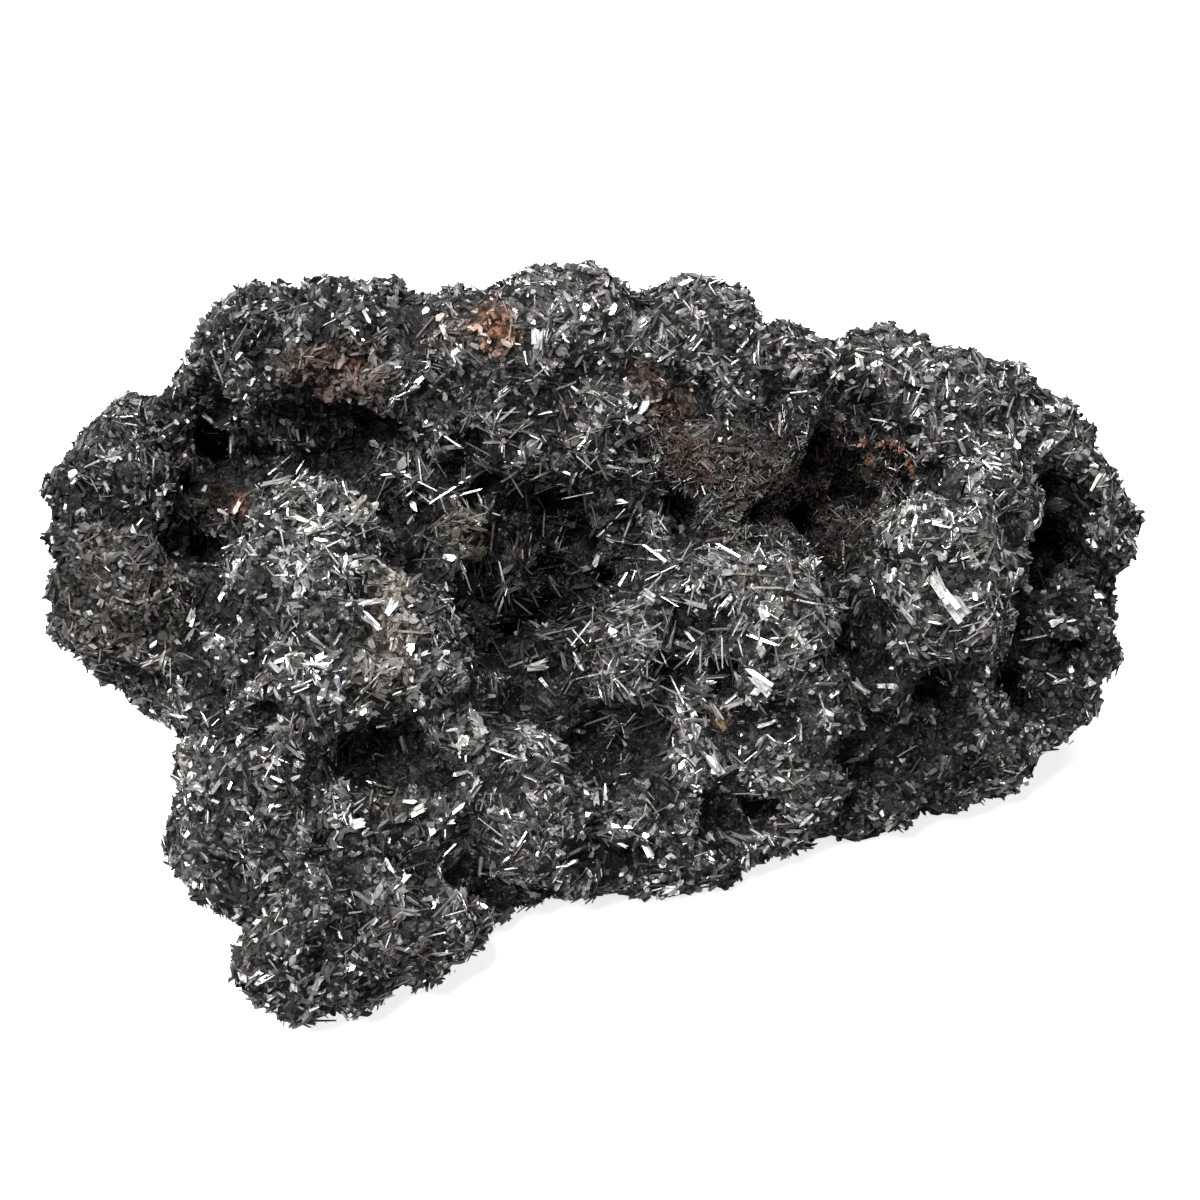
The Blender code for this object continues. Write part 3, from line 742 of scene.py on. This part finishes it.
def surface_spots(points, triangles, count, density):
    """Count places on the surface: where, and which way the surface faces there. Density is per triangle."""
    corners = points[triangles]
    across = np.cross(corners[:, 1] - corners[:, 0], corners[:, 2] - corners[:, 0])
    area = np.linalg.norm(across, axis=1) * density
    chosen = np.searchsorted(np.cumsum(area), chance.random(count) * area.sum())
    chosen = np.minimum(chosen, len(area) - 1)
    a, b = chance.random((2, count, 1))
    a, b = np.where(a + b > 1, 1 - a, a), np.where(a + b > 1, 1 - b, b)
    first, second, third = corners[chosen].transpose(1, 0, 2)
    return first + (second - first) * a + (third - first) * b, chosen


def broad_normals(points, triangles, rounds):
    """Each corner's normal, evened out over its neighbours that many times."""
    corners = points[triangles]
    across = np.cross(corners[:, 1] - corners[:, 0], corners[:, 2] - corners[:, 0])
    normals = np.zeros_like(points)
    for k in range(3):
        np.add.at(normals, triangles[:, k], across)
    normals = unit(normals)
    for _ in range(rounds):
        face = normals[triangles].sum(axis=1)
        spread = np.zeros_like(points)
        for k in range(3):
            np.add.at(spread, triangles[:, k], face)
        normals = unit(spread)
    return normals


def hollowness(points, triangles, normals, rounds):
    """How far below its evened-out surroundings each corner lies, in millimetres. Below 0 on knobs and ridges."""
    even = points.copy()
    shared = np.bincount(triangles.ravel(), minlength=len(points))[:, None] * 3
    for _ in range(rounds):
        middle = even[triangles].sum(axis=1)
        total = np.stack(
            [sum(np.bincount(triangles[:, k], middle[:, axis], len(points)) for k in range(3)) for axis in range(3)],
            axis=1,
        )
        even = total / shared
    return ((even - points) * normals).sum(axis=1) / MM


def turned(vectors, axes, angles):
    """Vectors turned about unit axes by angles."""
    cosine = np.cos(angles)[:, None]
    sine = np.sin(angles)[:, None]
    along = (vectors * axes).sum(axis=1, keepdims=True)
    return vectors * cosine + np.cross(axes, vectors) * sine + axes * along * (1 - cosine)


class Growth:
    """Crystals of one shape: where each is rooted, how it lies, its size, colour, polish and metal."""

    ONE_A_CRYSTAL = (
        *("along", "across", "through", "length", "width", "thickness"),
        *("root", "colour", "polish", "metal", "shared"),
    )

    def __init__(self, shape, spots, normals, tilt, length, width, thickness, sunk, headings=None, roll=0.75):
        """Headings are the directions they lean in. Without them each leans its own way."""
        self.shape = shape
        count = len(spots)
        level = unit(np.cross(normals, chance.normal(size=(count, 3))))
        if headings is not None:
            level = unit(headings - normals * (headings * normals).sum(axis=1, keepdims=True) + level * 0.02)
        lean = np.radians(tilt)
        self.along = normals * np.cos(lean)[:, None] + level * np.sin(lean)[:, None]
        flat = unit(np.cross(self.along, normals) + chance.normal(size=(count, 3)) * 0.02)
        flat = unit(flat - self.along * (flat * self.along).sum(axis=1, keepdims=True))
        self.across = turned(flat, self.along, chance.normal(0, roll, count))
        self.through = np.cross(self.along, self.across)
        self.length, self.width, self.thickness = length, width, thickness
        self.root = spots - self.along * sunk[:, None]
        self.colour = np.tile(np.array(STEEL), (count, 1))
        self.polish = np.full(count, 0.5)
        self.metal = np.full(count, 0.85)
        self.shared = chance.normal(0, 1, count)

    def keep(self, wanted):
        for name in self.ONE_A_CRYSTAL:
            setattr(self, name, getattr(self, name)[wanted])

    def tips(self):
        return self.root + self.along * self.length[:, None]


def joined_crystals(name, growths, material):
    """One mesh of all the crystals, their colours, and two UV maps: millimetres along and across, and a cell each."""
    side = math.ceil(math.sqrt(sum(len(g.root) for g in growths)))
    parts = {key: [] for key in ("points", "loops", "starts", "colour", "polish", "metal", "along", "cells")}
    vertex_base, loop_base, cell_base = 0, 0, 0
    for g in growths:
        shape_points, shape_faces = g.shape
        count, corners = len(g.root), len(shape_points)
        size = np.stack([g.width, g.thickness, g.length], axis=1)
        local = shape_points[None] * size[:, None]
        points = (
            g.root[:, None]
            + g.across[:, None] * local[..., 0:1]
            + g.through[:, None] * local[..., 1:2]
            + g.along[:, None] * local[..., 2:3]
        )
        loops = np.concatenate(shape_faces)
        starts = np.cumsum([0] + [len(f) for f in shape_faces])[:-1]
        ids = np.arange(count)
        parts["points"].append(points.reshape(-1, 3))
        parts["loops"].append((loops[None] + ids[:, None] * corners + vertex_base).ravel())
        parts["starts"].append((starts[None] + ids[:, None] * len(loops) + loop_base).ravel())
        for key in ("colour", "polish", "metal"):
            parts[key].append(np.repeat(getattr(g, key), corners, axis=0))
        # Each face is laid out flat: across it in one direction, along the crystal in the other
        layout, cell = face_layout(shape_points, shape_faces)
        scale = np.stack([g.width, g.length], axis=1) / MM
        shift = np.stack([ids * 0.37 % 50, ids * 0.71 % 50], axis=1)
        parts["along"].append((layout[None] * scale[:, None] + shift[:, None]).reshape(-1, 2))
        origin = np.stack([(cell_base + ids) % side, (cell_base + ids) // side], axis=1)
        parts["cells"].append(((origin[:, None] + 0.06 + cell[None] * 0.88) / side).reshape(-1, 2))
        vertex_base += count * corners
        loop_base += count * len(loops)
        cell_base += count
    merged = {key: np.concatenate(value) for key, value in parts.items()}
    mesh = bpy.data.meshes.new(name)
    mesh.vertices.add(len(merged["points"]))
    mesh.vertices.foreach_set("co", merged["points"].astype(np.float32).ravel())
    mesh.loops.add(len(merged["loops"]))
    mesh.loops.foreach_set("vertex_index", merged["loops"].astype(np.int32))
    mesh.polygons.add(len(merged["starts"]))
    mesh.polygons.foreach_set("loop_start", merged["starts"].astype(np.int32))
    mesh.update(calc_edges=True)
    mesh.validate()
    mesh.shade_flat()
    for uv_name, key in (("OFBake", "cells"), ("along", "along")):
        mesh.uv_layers.new(name=uv_name).uv.foreach_set("vector", merged[key].astype(np.float32).ravel())
    for attribute, key in (("crystal_colour", "colour"), ("polish", "polish"), ("metal", "metal")):
        set_attribute(mesh, attribute, merged[key])
    obj = bpy.data.objects.new(name, mesh)
    bpy.context.scene.collection.objects.link(obj)
    mesh.materials.append(material)
    return obj


def face_layout(points, faces):
    """For every face corner, its place along and across the crystal, and in a unit cell with a column a face."""
    layout, cell = [], []
    for k, face in enumerate(faces):
        corners = points[face]
        normal = np.abs(np.cross(corners[1] - corners[0], corners[2] - corners[0]))
        across = corners[:, 1] if normal[0] > normal[1] and normal[0] > normal[2] else corners[:, 0]
        up = corners[:, 1] if normal[2] > max(normal[0], normal[1]) else corners[:, 2]
        layout.append(np.stack([across + k * 3.1, up], axis=1))
        flat = np.stack([across, up], axis=1)
        flat = (flat - flat.min(axis=0)) / np.maximum(np.ptp(flat, axis=0), 1e-6)
        cell.append(np.stack([(k + 0.1 + flat[:, 0] * 0.8) / len(faces), flat[:, 1]], axis=1))
    return np.concatenate(layout), np.concatenate(cell)


def spread(count, middle, factor, low, high):
    """Sizes around a middle one, in metres from millimetres."""
    return np.clip(middle * np.exp(chance.normal(0, factor, count)), low, high) * MM


class Ground:
    """The groundmass as crystals see it: where they may root, and which way the surface faces."""

    def __init__(self, obj, needle):
        self.needle = needle
        self.points, self.triangles = mesh_arrays(obj.data)
        normals = broad_normals(self.points, self.triangles, 2)
        hollow = hollowness(self.points, self.triangles, normals, HOLLOW_ROUNDS)
        self.hollow = hollow[self.triangles].mean(axis=1)
        self.centres = self.points[self.triangles].mean(axis=1)
        self.normals = unit(normals[self.triangles].sum(axis=1))
        self.tree = KDTree(len(self.centres))
        for index, centre in enumerate(self.centres.tolist()):
            self.tree.insert(centre, index)
        self.tree.balance()
        underside = (self.centres[:, 2] < 2.0 * MM) & (self.normals[:, 2] < -0.5)
        density = np.where(underside, 0.0, 1.0)
        self.density = density * (1 - 0.35 * np.clip((-self.normals[:, 2] - 0.2) * 2, 0, 1))
        self.pits = nearness(self.centres, inner_pits())
        self.granular = nearness(self.centres, GRANULAR)
        self.mossy = nearness(self.centres, MOSSY)
        self.needly = nearness(self.centres, NEEDLY)
        self.sparse = nearness(self.centres, SPARSE)
        self.clumps = cloudiness(self.centres, 2.6 * MM, 11) + 0.5 * cloudiness(self.centres, 1.1 * MM, 12)

    def spots(self, count, weight):
        """Places for that many, and the way the surface faces there. The weight is one number a triangle."""
        places, chosen = surface_spots(self.points, self.triangles, count, self.density * weight)
        return places, self.normals[chosen], chosen

    def nearest(self, places):
        """The triangle nearest to each place, and how far its middle is."""
        found = [self.tree.find(place) for place in places.tolist()]
        return np.array([f[1] for f in found]), np.array([f[2] for f in found])

    def hold_back(self, g):
        """Shortens the crystals whose tips would stand further off the surface than they may there."""
        for _ in range(2):
            near, away = self.nearest(g.tips())
            allowed = LOW_REACH + (HIGH_REACH - LOW_REACH) * self.needly[near]
            g.length = g.length * np.clip(allowed / away, 0.35, 1.0)


def grow_crystals(ground, shapes):
    """All the growths of the specimen, a list for every kind of place."""
    clear = (1 - 0.88 * ground.pits) * (1 - 0.75 * ground.mossy) * np.exp(np.clip(-1.1 * ground.hollow, -1.6, 0.5))
    clumped = clear * np.clip(0.75 + 1.5 * ground.clumps, 0.06, 2.2)
    growths = []

    def add(shape, kind, places, facing, tilt, roll=0.75):
        length, width, thickness = (spread(len(places), *row) for row in SIZES[kind])
        deep = length * ROOT_SHARE + ROOT_DEPTH
        growths.append(Growth(shape, places, facing, tilt, length, width, thickness, deep, None, roll))

    # Crumbs everywhere, most of all where the mass is granular
    crumbly = clear * (0.25 + 1.2 * ground.granular) * (1 - 0.8 * ground.sparse)
    for name, share, *_ in CRUMB_SHAPES:
        places, facing, _ = ground.spots(int(CRUMBS * share), crumbly)
        add(shapes[name], "crumb", places, facing, chance.uniform(0, 90, len(places)), 3.0)

    # Single crystals
    single = clumped * (1 - 0.60 * ground.granular) * (1 - 0.68 * ground.sparse)
    places, facing, chosen = ground.spots(CRYSTALS, single)
    needly = ground.needly[chosen]
    granular = ground.granular[chosen]
    patchy = cloudiness(places, 5.0 * MM, 1)
    kind = chance.random(len(places)) + 0.22 * patchy - 0.10 * needly + 0.08 * granular
    flattest = chance.uniform(70, 94, len(places))
    tilt = np.where(chance.random(len(places)) < 0.55 * needly, chance.uniform(35, 88, len(places)), flattest)
    for name, low, high in SINGLE_KINDS:
        mask = (kind >= low) & (kind < high)
        own_tilt = tilt[mask] - (chance.uniform(0, 38, mask.sum()) if name in ("flake", "notched") else 0)
        add(shapes[name], name, places[mask], facing[mask], own_tilt)

    # Needles long enough to bridge from lump to lump
    places, facing, _ = ground.spots(LONG_NEEDLES, clear * (0.10 + ground.needly) * (1 - 0.8 * ground.granular))
    add(shapes["needle"], "long needle", places, facing, chance.uniform(66, 90, len(places)))

    grouped = clumped * (1 - 0.7 * ground.granular)
    growths.append(grow_sprays(shapes["needle"], ground, grouped))
    growths.append(grow_blade_groups(shapes["blade"], ground, grouped))
    growths.append(grow_leaves(shapes["blade"], ground, clumped * (1 - 0.5 * ground.granular)))
    growths.append(grow_moss(shapes["needle"], ground))
    for g in growths:
        ground.hold_back(g)
        paint_crystals(g, ground)
    growths.append(grow_rust_strips(shapes["crumb_a"], ground))
    growths.extend(place_painted_glint_blades(shapes))
    for g in growths:
        lowest = np.minimum(g.root[:, 2], g.tips()[:, 2]) - g.width / 2
        g.keep(lowest > LOWEST_CRYSTAL)
    return growths


def grow_sprays(shape, ground, weight):
    """Bundles of needles that fan out from one root."""
    places, facing, chosen = ground.spots(SPRAYS, weight)
    members = chance.integers(4, 9, SPRAYS)
    owner = np.repeat(np.arange(SPRAYS), members)
    count = len(owner)
    lean = np.radians(chance.uniform(66, 92, SPRAYS) - 25 * ground.needly[chosen])
    level = unit(np.cross(facing, chance.normal(size=(SPRAYS, 3))))
    axis = facing * np.cos(lean)[:, None] + level * np.sin(lean)[:, None]
    lengths, widths, thicknesses = SIZES["spray"]
    size = spread(count, *lengths) * np.repeat(chance.uniform(0.7, 1.2, SPRAYS), members)
    near = places[owner] + chance.normal(0, 0.20 * MM, (count, 3))
    fan = np.abs(chance.normal(0, 15, count))
    width = spread(count, *widths)
    thickness = spread(count, *thicknesses)
    return Growth(shape, near, axis[owner], fan, size, width, thickness, np.full(count, 0.4 * MM))


def grow_blade_groups(shape, ground, weight):
    """Blades side by side that lie nearly the same way, like a pack of slipped cards."""
    places, facing, _ = ground.spots(BLADE_GROUPS, weight)
    members = chance.integers(3, 7, BLADE_GROUPS)
    owner = np.repeat(np.arange(BLADE_GROUPS), members)
    count = len(owner)
    heading = unit(np.cross(facing, chance.normal(size=(BLADE_GROUPS, 3))))
    beside = np.cross(facing, heading)
    near = places[owner] + beside[owner] * chance.normal(0, 0.32 * MM, (count, 1))
    near = near + heading[owner] * chance.normal(0, 0.35 * MM, (count, 1))
    own_heading = heading[owner] + chance.normal(0, 0.12, (count, 3))
    tilt = chance.uniform(66, 90, BLADE_GROUPS)[owner] + chance.normal(0, 4, count)
    size, width, thickness = (spread(count, *row) for row in SIZES["pack"])
    deep = np.full(count, 0.3 * MM)
    g = Growth(shape, near, facing[owner], tilt, size, width, thickness, deep, own_heading, 0.5)
    g.shared = chance.normal(0, 1, BLADE_GROUPS)[owner] * 0.8 + g.shared * 0.4
    return g


def grow_leaves(shape, ground, weight):
    """Leaves: blades that spread in one plane from one root and have grown together."""
    places, facing, _ = ground.spots(LEAVES, weight)
    members = chance.integers(4, 8, LEAVES)
    owner = np.repeat(np.arange(LEAVES), members)
    count = len(owner)
    rank = np.concatenate([np.linspace(-1, 1, m) for m in members])
    heading = unit(np.cross(facing, chance.normal(size=(LEAVES, 3))))
    heading = unit(heading + facing * chance.uniform(0.0, 0.5, (LEAVES, 1)))
    steep = np.radians(chance.uniform(-50, 50, (LEAVES, 1)))
    beside = unit(np.cross(facing, heading))
    beside = unit(beside * np.cos(steep) + np.cross(heading, beside) * np.sin(steep))
    flat = unit(np.cross(heading, beside)[owner] + chance.normal(0, 0.06, (count, 3)))
    angle = rank * np.repeat(chance.uniform(0.25, 0.75, LEAVES), members) + chance.normal(0, 0.05, count)
    lengths, widths, thicknesses = SIZES["leaf"]
    size = np.repeat(spread(LEAVES, *lengths), members) * (1 - 0.30 * rank**2) * chance.uniform(0.8, 1.1, count)
    width = spread(count, *widths)
    thickness = spread(count, *thicknesses)
    # The tilt given here is only a start, because the leaf's own directions replace what it leads to
    g = Growth(shape, places[owner], facing[owner], np.full(count, 80.0), size, width, thickness, size * 0.0)
    g.along = unit(heading[owner] * np.cos(angle)[:, None] + beside[owner] * np.sin(angle)[:, None])
    g.across = unit(np.cross(flat, g.along))
    g.through = np.cross(g.along, g.across)
    g.root = places[owner] + facing[owner] * 0.12 * MM - g.along * size[:, None] * 0.25
    g.shared = chance.normal(0.3, 1, LEAVES)[owner] * 0.95 + g.shared * 0.25
    return g


def grow_moss(shape, ground):
    """Short threads every way, several deep."""
    places, facing, _ = ground.spots(MOSS_THREADS, ground.mossy**1.5 + 0.004)
    count = len(places)
    lifted = places + facing * chance.uniform(-0.2, 0.9, (count, 1)) * MM
    size, width = (spread(count, *row) for row in SIZES["moss"])
    tilt = chance.uniform(20, 100, count)
    return Growth(shape, lifted, facing, tilt, size, width, width * 0.9, size * 0.3)


def grow_rust_strips(shape, ground):
    """The rust-coloured crumbs in strips on the wall of the rear right basin."""
    rows = []
    for start, end in np.array(RUST_STRIPS):
        way = chance.random((CRUMBS_A_STRIP, 1))
        rows.append(start + (end - start) * way + chance.normal(0, 0.26, (CRUMBS_A_STRIP, 3)))
    places = np.concatenate(rows) * MM
    nearest = np.array([np.argmin(((ground.centres - p) ** 2).sum(axis=1)) for p in places])
    seated = ground.centres[nearest] + ground.normals[nearest] * chance.uniform(0.1, 0.7, (len(places), 1)) * MM
    count = len(places)
    size = spread(count, *SIZES["rust"][0])
    tilt = chance.uniform(0, 90, count)
    g = Growth(shape, seated, ground.normals[nearest], tilt, size, size * 0.8, size * 0.6, size * 0.3, None, 3.0)
    g.colour = np.array(RUST) * chance.uniform(0.25, 1.15, (count, 1))
    g.metal = np.full(count, 0.0)
    g.polish = np.full(count, 0.1)
    return g


def place_painted_glint_blades(shapes):
    """The crystals that stand out, each a bundle of laths with a ragged end, turned to the light and coloured pale
    grey as painted glints.
    """
    made = []
    for shape, laths in ((shapes["notched"], 2), (shapes["blade"], 2)):
        count = len(PAINTED_GLINT_BLADES)
        owner = np.repeat(np.arange(count), laths)
        middle = np.array([row[0] for row in PAINTED_GLINT_BLADES])[owner] * MM + TO_CAMERA * 0.6 * MM
        whole = np.array([row[1:3] for row in PAINTED_GLINT_BLADES])[owner] * MM
        slant = np.radians([row[3] for row in PAINTED_GLINT_BLADES])[owner] + chance.normal(0, 0.10, len(owner))
        heading = PICTURE_RIGHT * np.cos(slant)[:, None] + PICTURE_UP * np.sin(slant)[:, None]
        beside = np.cross(TO_CAMERA, heading)
        length = whole[:, 0] * chance.uniform(0.55, 0.95, len(owner))
        width = whole[:, 1] * chance.uniform(0.32, 0.50, len(owner))
        middle = middle + beside * whole[:, 1:] * chance.uniform(-0.36, 0.36, (len(owner), 1))
        middle = middle + heading * whole[:, :1] * chance.uniform(-0.12, 0.12, (len(owner), 1))
        facing = unit(TO_CAMERA + chance.normal(0, 0.22, (len(owner), 3)) + np.array((-0.15, 0.1, 0.15)))
        thickness, flat = np.full(len(owner), 0.2 * MM), np.full(len(owner), 90.0)
        g = Growth(shape, middle, facing, flat, length, width, thickness, length / 2, heading, 0.25)
        broad = np.clip(whole[:, 1:] / MM - 0.8, 0, 1)
        g.colour = np.array(PAINTED_GLINT_GREY) * (chance.uniform(0.5, 1.2, (len(owner), 1)) + 0.3 * broad)
        g.metal = chance.uniform(0.1, 0.5, len(owner))
        g.polish = chance.uniform(0.3, 0.8, len(owner))
        made.append(g)
    return made


def paint_crystals(g, ground):
    """Each crystal's own grey, darker or brighter by chance, with painted shade in hollows, pits, dull and sparse
    places, painted light on knobs, ridges and in lit places, pale grey painted glints on a few, then the stains.
    """
    count = len(g.root)
    middles = g.root + g.along * g.length[:, None] * 0.5
    hollow = ground.hollow[ground.nearest(g.root)[0]]
    bright = nearness(middles, PAINTED_LIGHT_AND_POLISH_PLACES)
    dull = nearness(middles, PAINTED_SHADE_AND_DULL_PLACES)
    pits = nearness(middles, inner_pits())
    patch = 0.90 * cloudiness(middles, 3.2 * MM, 6) + 0.55 * cloudiness(middles, 1.4 * MM, 7)
    small = np.clip(g.length / (1.3 * MM), 0.4, 1.0)
    # Painted light in the lit places, painted shade in the dull places and in pits
    place = PAINTED_LIGHT_RAISES * bright - PAINTED_SHADE_LOWERS * dull - PIT_PAINTED_SHADE * pits
    tone = np.exp(TONE_CHANCE * small**0.5 * g.shared - 0.16 + place + patch)
    # Painted shade in hollows, painted light on knobs and ridges
    tone = tone * np.exp(np.clip(-HOLLOW_PAINTED_SHADE * hollow, -2.3, 0.5))
    # A few crystals are coloured pale grey as painted glints, fewer in hollows, dull places and pits
    chances = (PAINTED_GLINT_SHARE + 0.06 * bright - 0.03 * dull - 0.04 * pits) * np.clip(1 - 0.8 * hollow, 0.1, 1.6)
    chances = chances * small * np.exp(2.2 * cloudiness(middles, 4.2 * MM, 21))
    # Painted shade where crystals are few, with no painted glints there
    deep = nearness(middles, SPARSE)
    painted_glint = (chance.random(count) < chances * (1 - 0.85 * deep))[:, None]
    tone = tone * np.exp(-(SPARSE_PAINTED_SHADE_NEEDLES if g.shape is ground.needle else SPARSE_PAINTED_SHADE_OTHERS) * deep)
    grey = np.array(STEEL) * np.clip(tone, 0.06, 3.6)[:, None]
    grey = np.where(painted_glint, np.array(PAINTED_GLINT_GREY) * chance.uniform(0.6, 1.1, (count, 1)), grey)
    warm = chance.normal(0.004, 0.03, (count, 1)) * np.array([1.0, 0.1, -1.0])
    colours, covered = stained(middles, grey * (1 + warm))
    g.colour = np.clip(colours, 0.004, 0.95)
    g.metal = np.where(painted_glint[:, 0], chance.uniform(0.1, 0.6, count), 0.85) * (1 - covered)
    g.polish = np.clip(chance.beta(2.2, 2.0, count) + 0.15 * bright - 0.30 * dull - 0.5 * covered, 0, 1)


def split_growths(growths, limit):
    """The growths shared out, from left to right, into lots that each stay under the limit of triangles."""
    weights, places, owners, rows = [], [], [], []
    for k, g in enumerate(growths):
        faces = sum(len(f) - 2 for f in g.shape[1])
        weights.append(np.full(len(g.root), faces))
        places.append(g.root[:, 0])
        owners.append(np.full(len(g.root), k))
        rows.append(np.arange(len(g.root)))
    weights, places, owners, rows = map(np.concatenate, (weights, places, owners, rows))
    order = np.argsort(places, kind="stable")
    lots = math.ceil(weights.sum() / limit)
    share = np.cumsum(weights[order]) * lots / (weights.sum() + 1)
    made = []
    for lot in range(lots):
        chosen = order[(share >= lot) & (share < lot + 1)]
        group = []
        for k, g in enumerate(growths):
            picked = rows[chosen[owners[chosen] == k]]
            if len(picked):
                part = Growth.__new__(Growth)
                part.__dict__.update(g.__dict__)
                part.keep(np.sort(picked))
                group.append(part)
        made.append(group)
    return made


# The studio


def add_camera():
    data = bpy.data.cameras.new("camera")
    camera = bpy.data.objects.new("camera", data)
    bpy.context.scene.collection.objects.link(camera)
    data.sensor_width = 36.0
    data.lens = CAMERA_LENS
    data.clip_start = 0.005
    data.clip_end = 20.0
    aim(camera, Vector(CAMERA_PLACE) * MM, Vector(PICTURE_MIDDLE) * MM)
    bpy.context.scene.camera = camera


def aim(obj, place, target):
    """Puts a camera or light at a place, turned to a target."""
    obj.location = place
    obj.rotation_euler = (target - place).to_track_quat("-Z", "Y").to_euler()


def add_softbox(name, place, size, power):
    data = bpy.data.lights.new(name, "AREA")
    data.shape = "RECTANGLE"
    data.size, data.size_y = size
    data.energy = power
    lamp = bpy.data.objects.new(name, data)
    bpy.context.scene.collection.objects.link(lamp)
    aim(lamp, Vector(place), Vector(LIT_POINT))


def add_studio():
    """A pale floor that glows white further out, soft lights, and a white backdrop that only the camera sees."""
    bpy.ops.object.select_all(action="DESELECT")
    bpy.ops.mesh.primitive_circle_add(vertices=96, radius=FLOOR_RADIUS, fill_type="NGON", location=(0, 0, 0))
    floor = bpy.context.object
    floor.name = "floor"
    nodes = Nodes(bpy.data.materials.new("pale_floor"))
    mottle = nodes.add("TexNoise", None, {"Vector": nodes.coordinates(), "Scale": 3.0, "Detail": 2.0})
    shade = nodes.ramp(mottle, [(0.3, 0.88), (0.7, 0.90)])
    away = nodes.add("VectorMath", {"operation": "LENGTH"}, {0: nodes.coordinates()}, "Value")
    glow = nodes.ramp(away, [(0.15, 0.64), (0.60, 1.0)])
    finish = nodes.surface(Base_Color=shade, Roughness=0.95, Emission_Color=glow, Emission_Strength=1.0)
    floor.data.materials.append(finish)
    floor.visible_glossy = False
    floor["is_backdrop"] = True
    nodes = Nodes(bpy.data.worlds.new("studio"), "Background")
    seen = nodes.add("LightPath", output="Is Camera Ray")
    bpy.context.scene.world = nodes.surface(Color=nodes.mix(seen, SKY, BACKDROP))
    for row in SOFTBOXES:
        add_softbox(*row)
    bpy.context.scene.view_settings.view_transform = "Standard"


# The specimen


ground = make_groundmass()
colour_groundmass(ground)
lay_out_faces(ground.data)
ground.data.materials.clear()
ground.data.materials.append(groundmass_material("dull_oxide"))
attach(ground, "root")
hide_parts("oxide_mass", "hollow_crystal_crust")

shapes = {
    "needle": needle_shape(),
    "blade": blade_shape(),
    "notched": notched_shape(),
    "flake": flake_shape(),
}
for name, _, *form in CRUMB_SHAPES:
    shapes[name] = crumb_shape(*form)
crystal_finish = crystal_material("striated_crystal", smoothest=0.16, roughest=0.50, line_depth=0.03 * MM)
lots = split_growths(grow_crystals(Ground(ground, shapes["needle"]), shapes), TRIANGLES_A_PIECE)
for number, lot in enumerate(lots):
    piece = joined_crystals(f"crystals_{number + 1}", lot, crystal_finish)
    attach(piece, "root")

add_studio()
add_camera()

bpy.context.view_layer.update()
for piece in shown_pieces():
    print(piece.name, "triangles", sum(len(p.vertices) - 2 for p in piece.data.polygons))
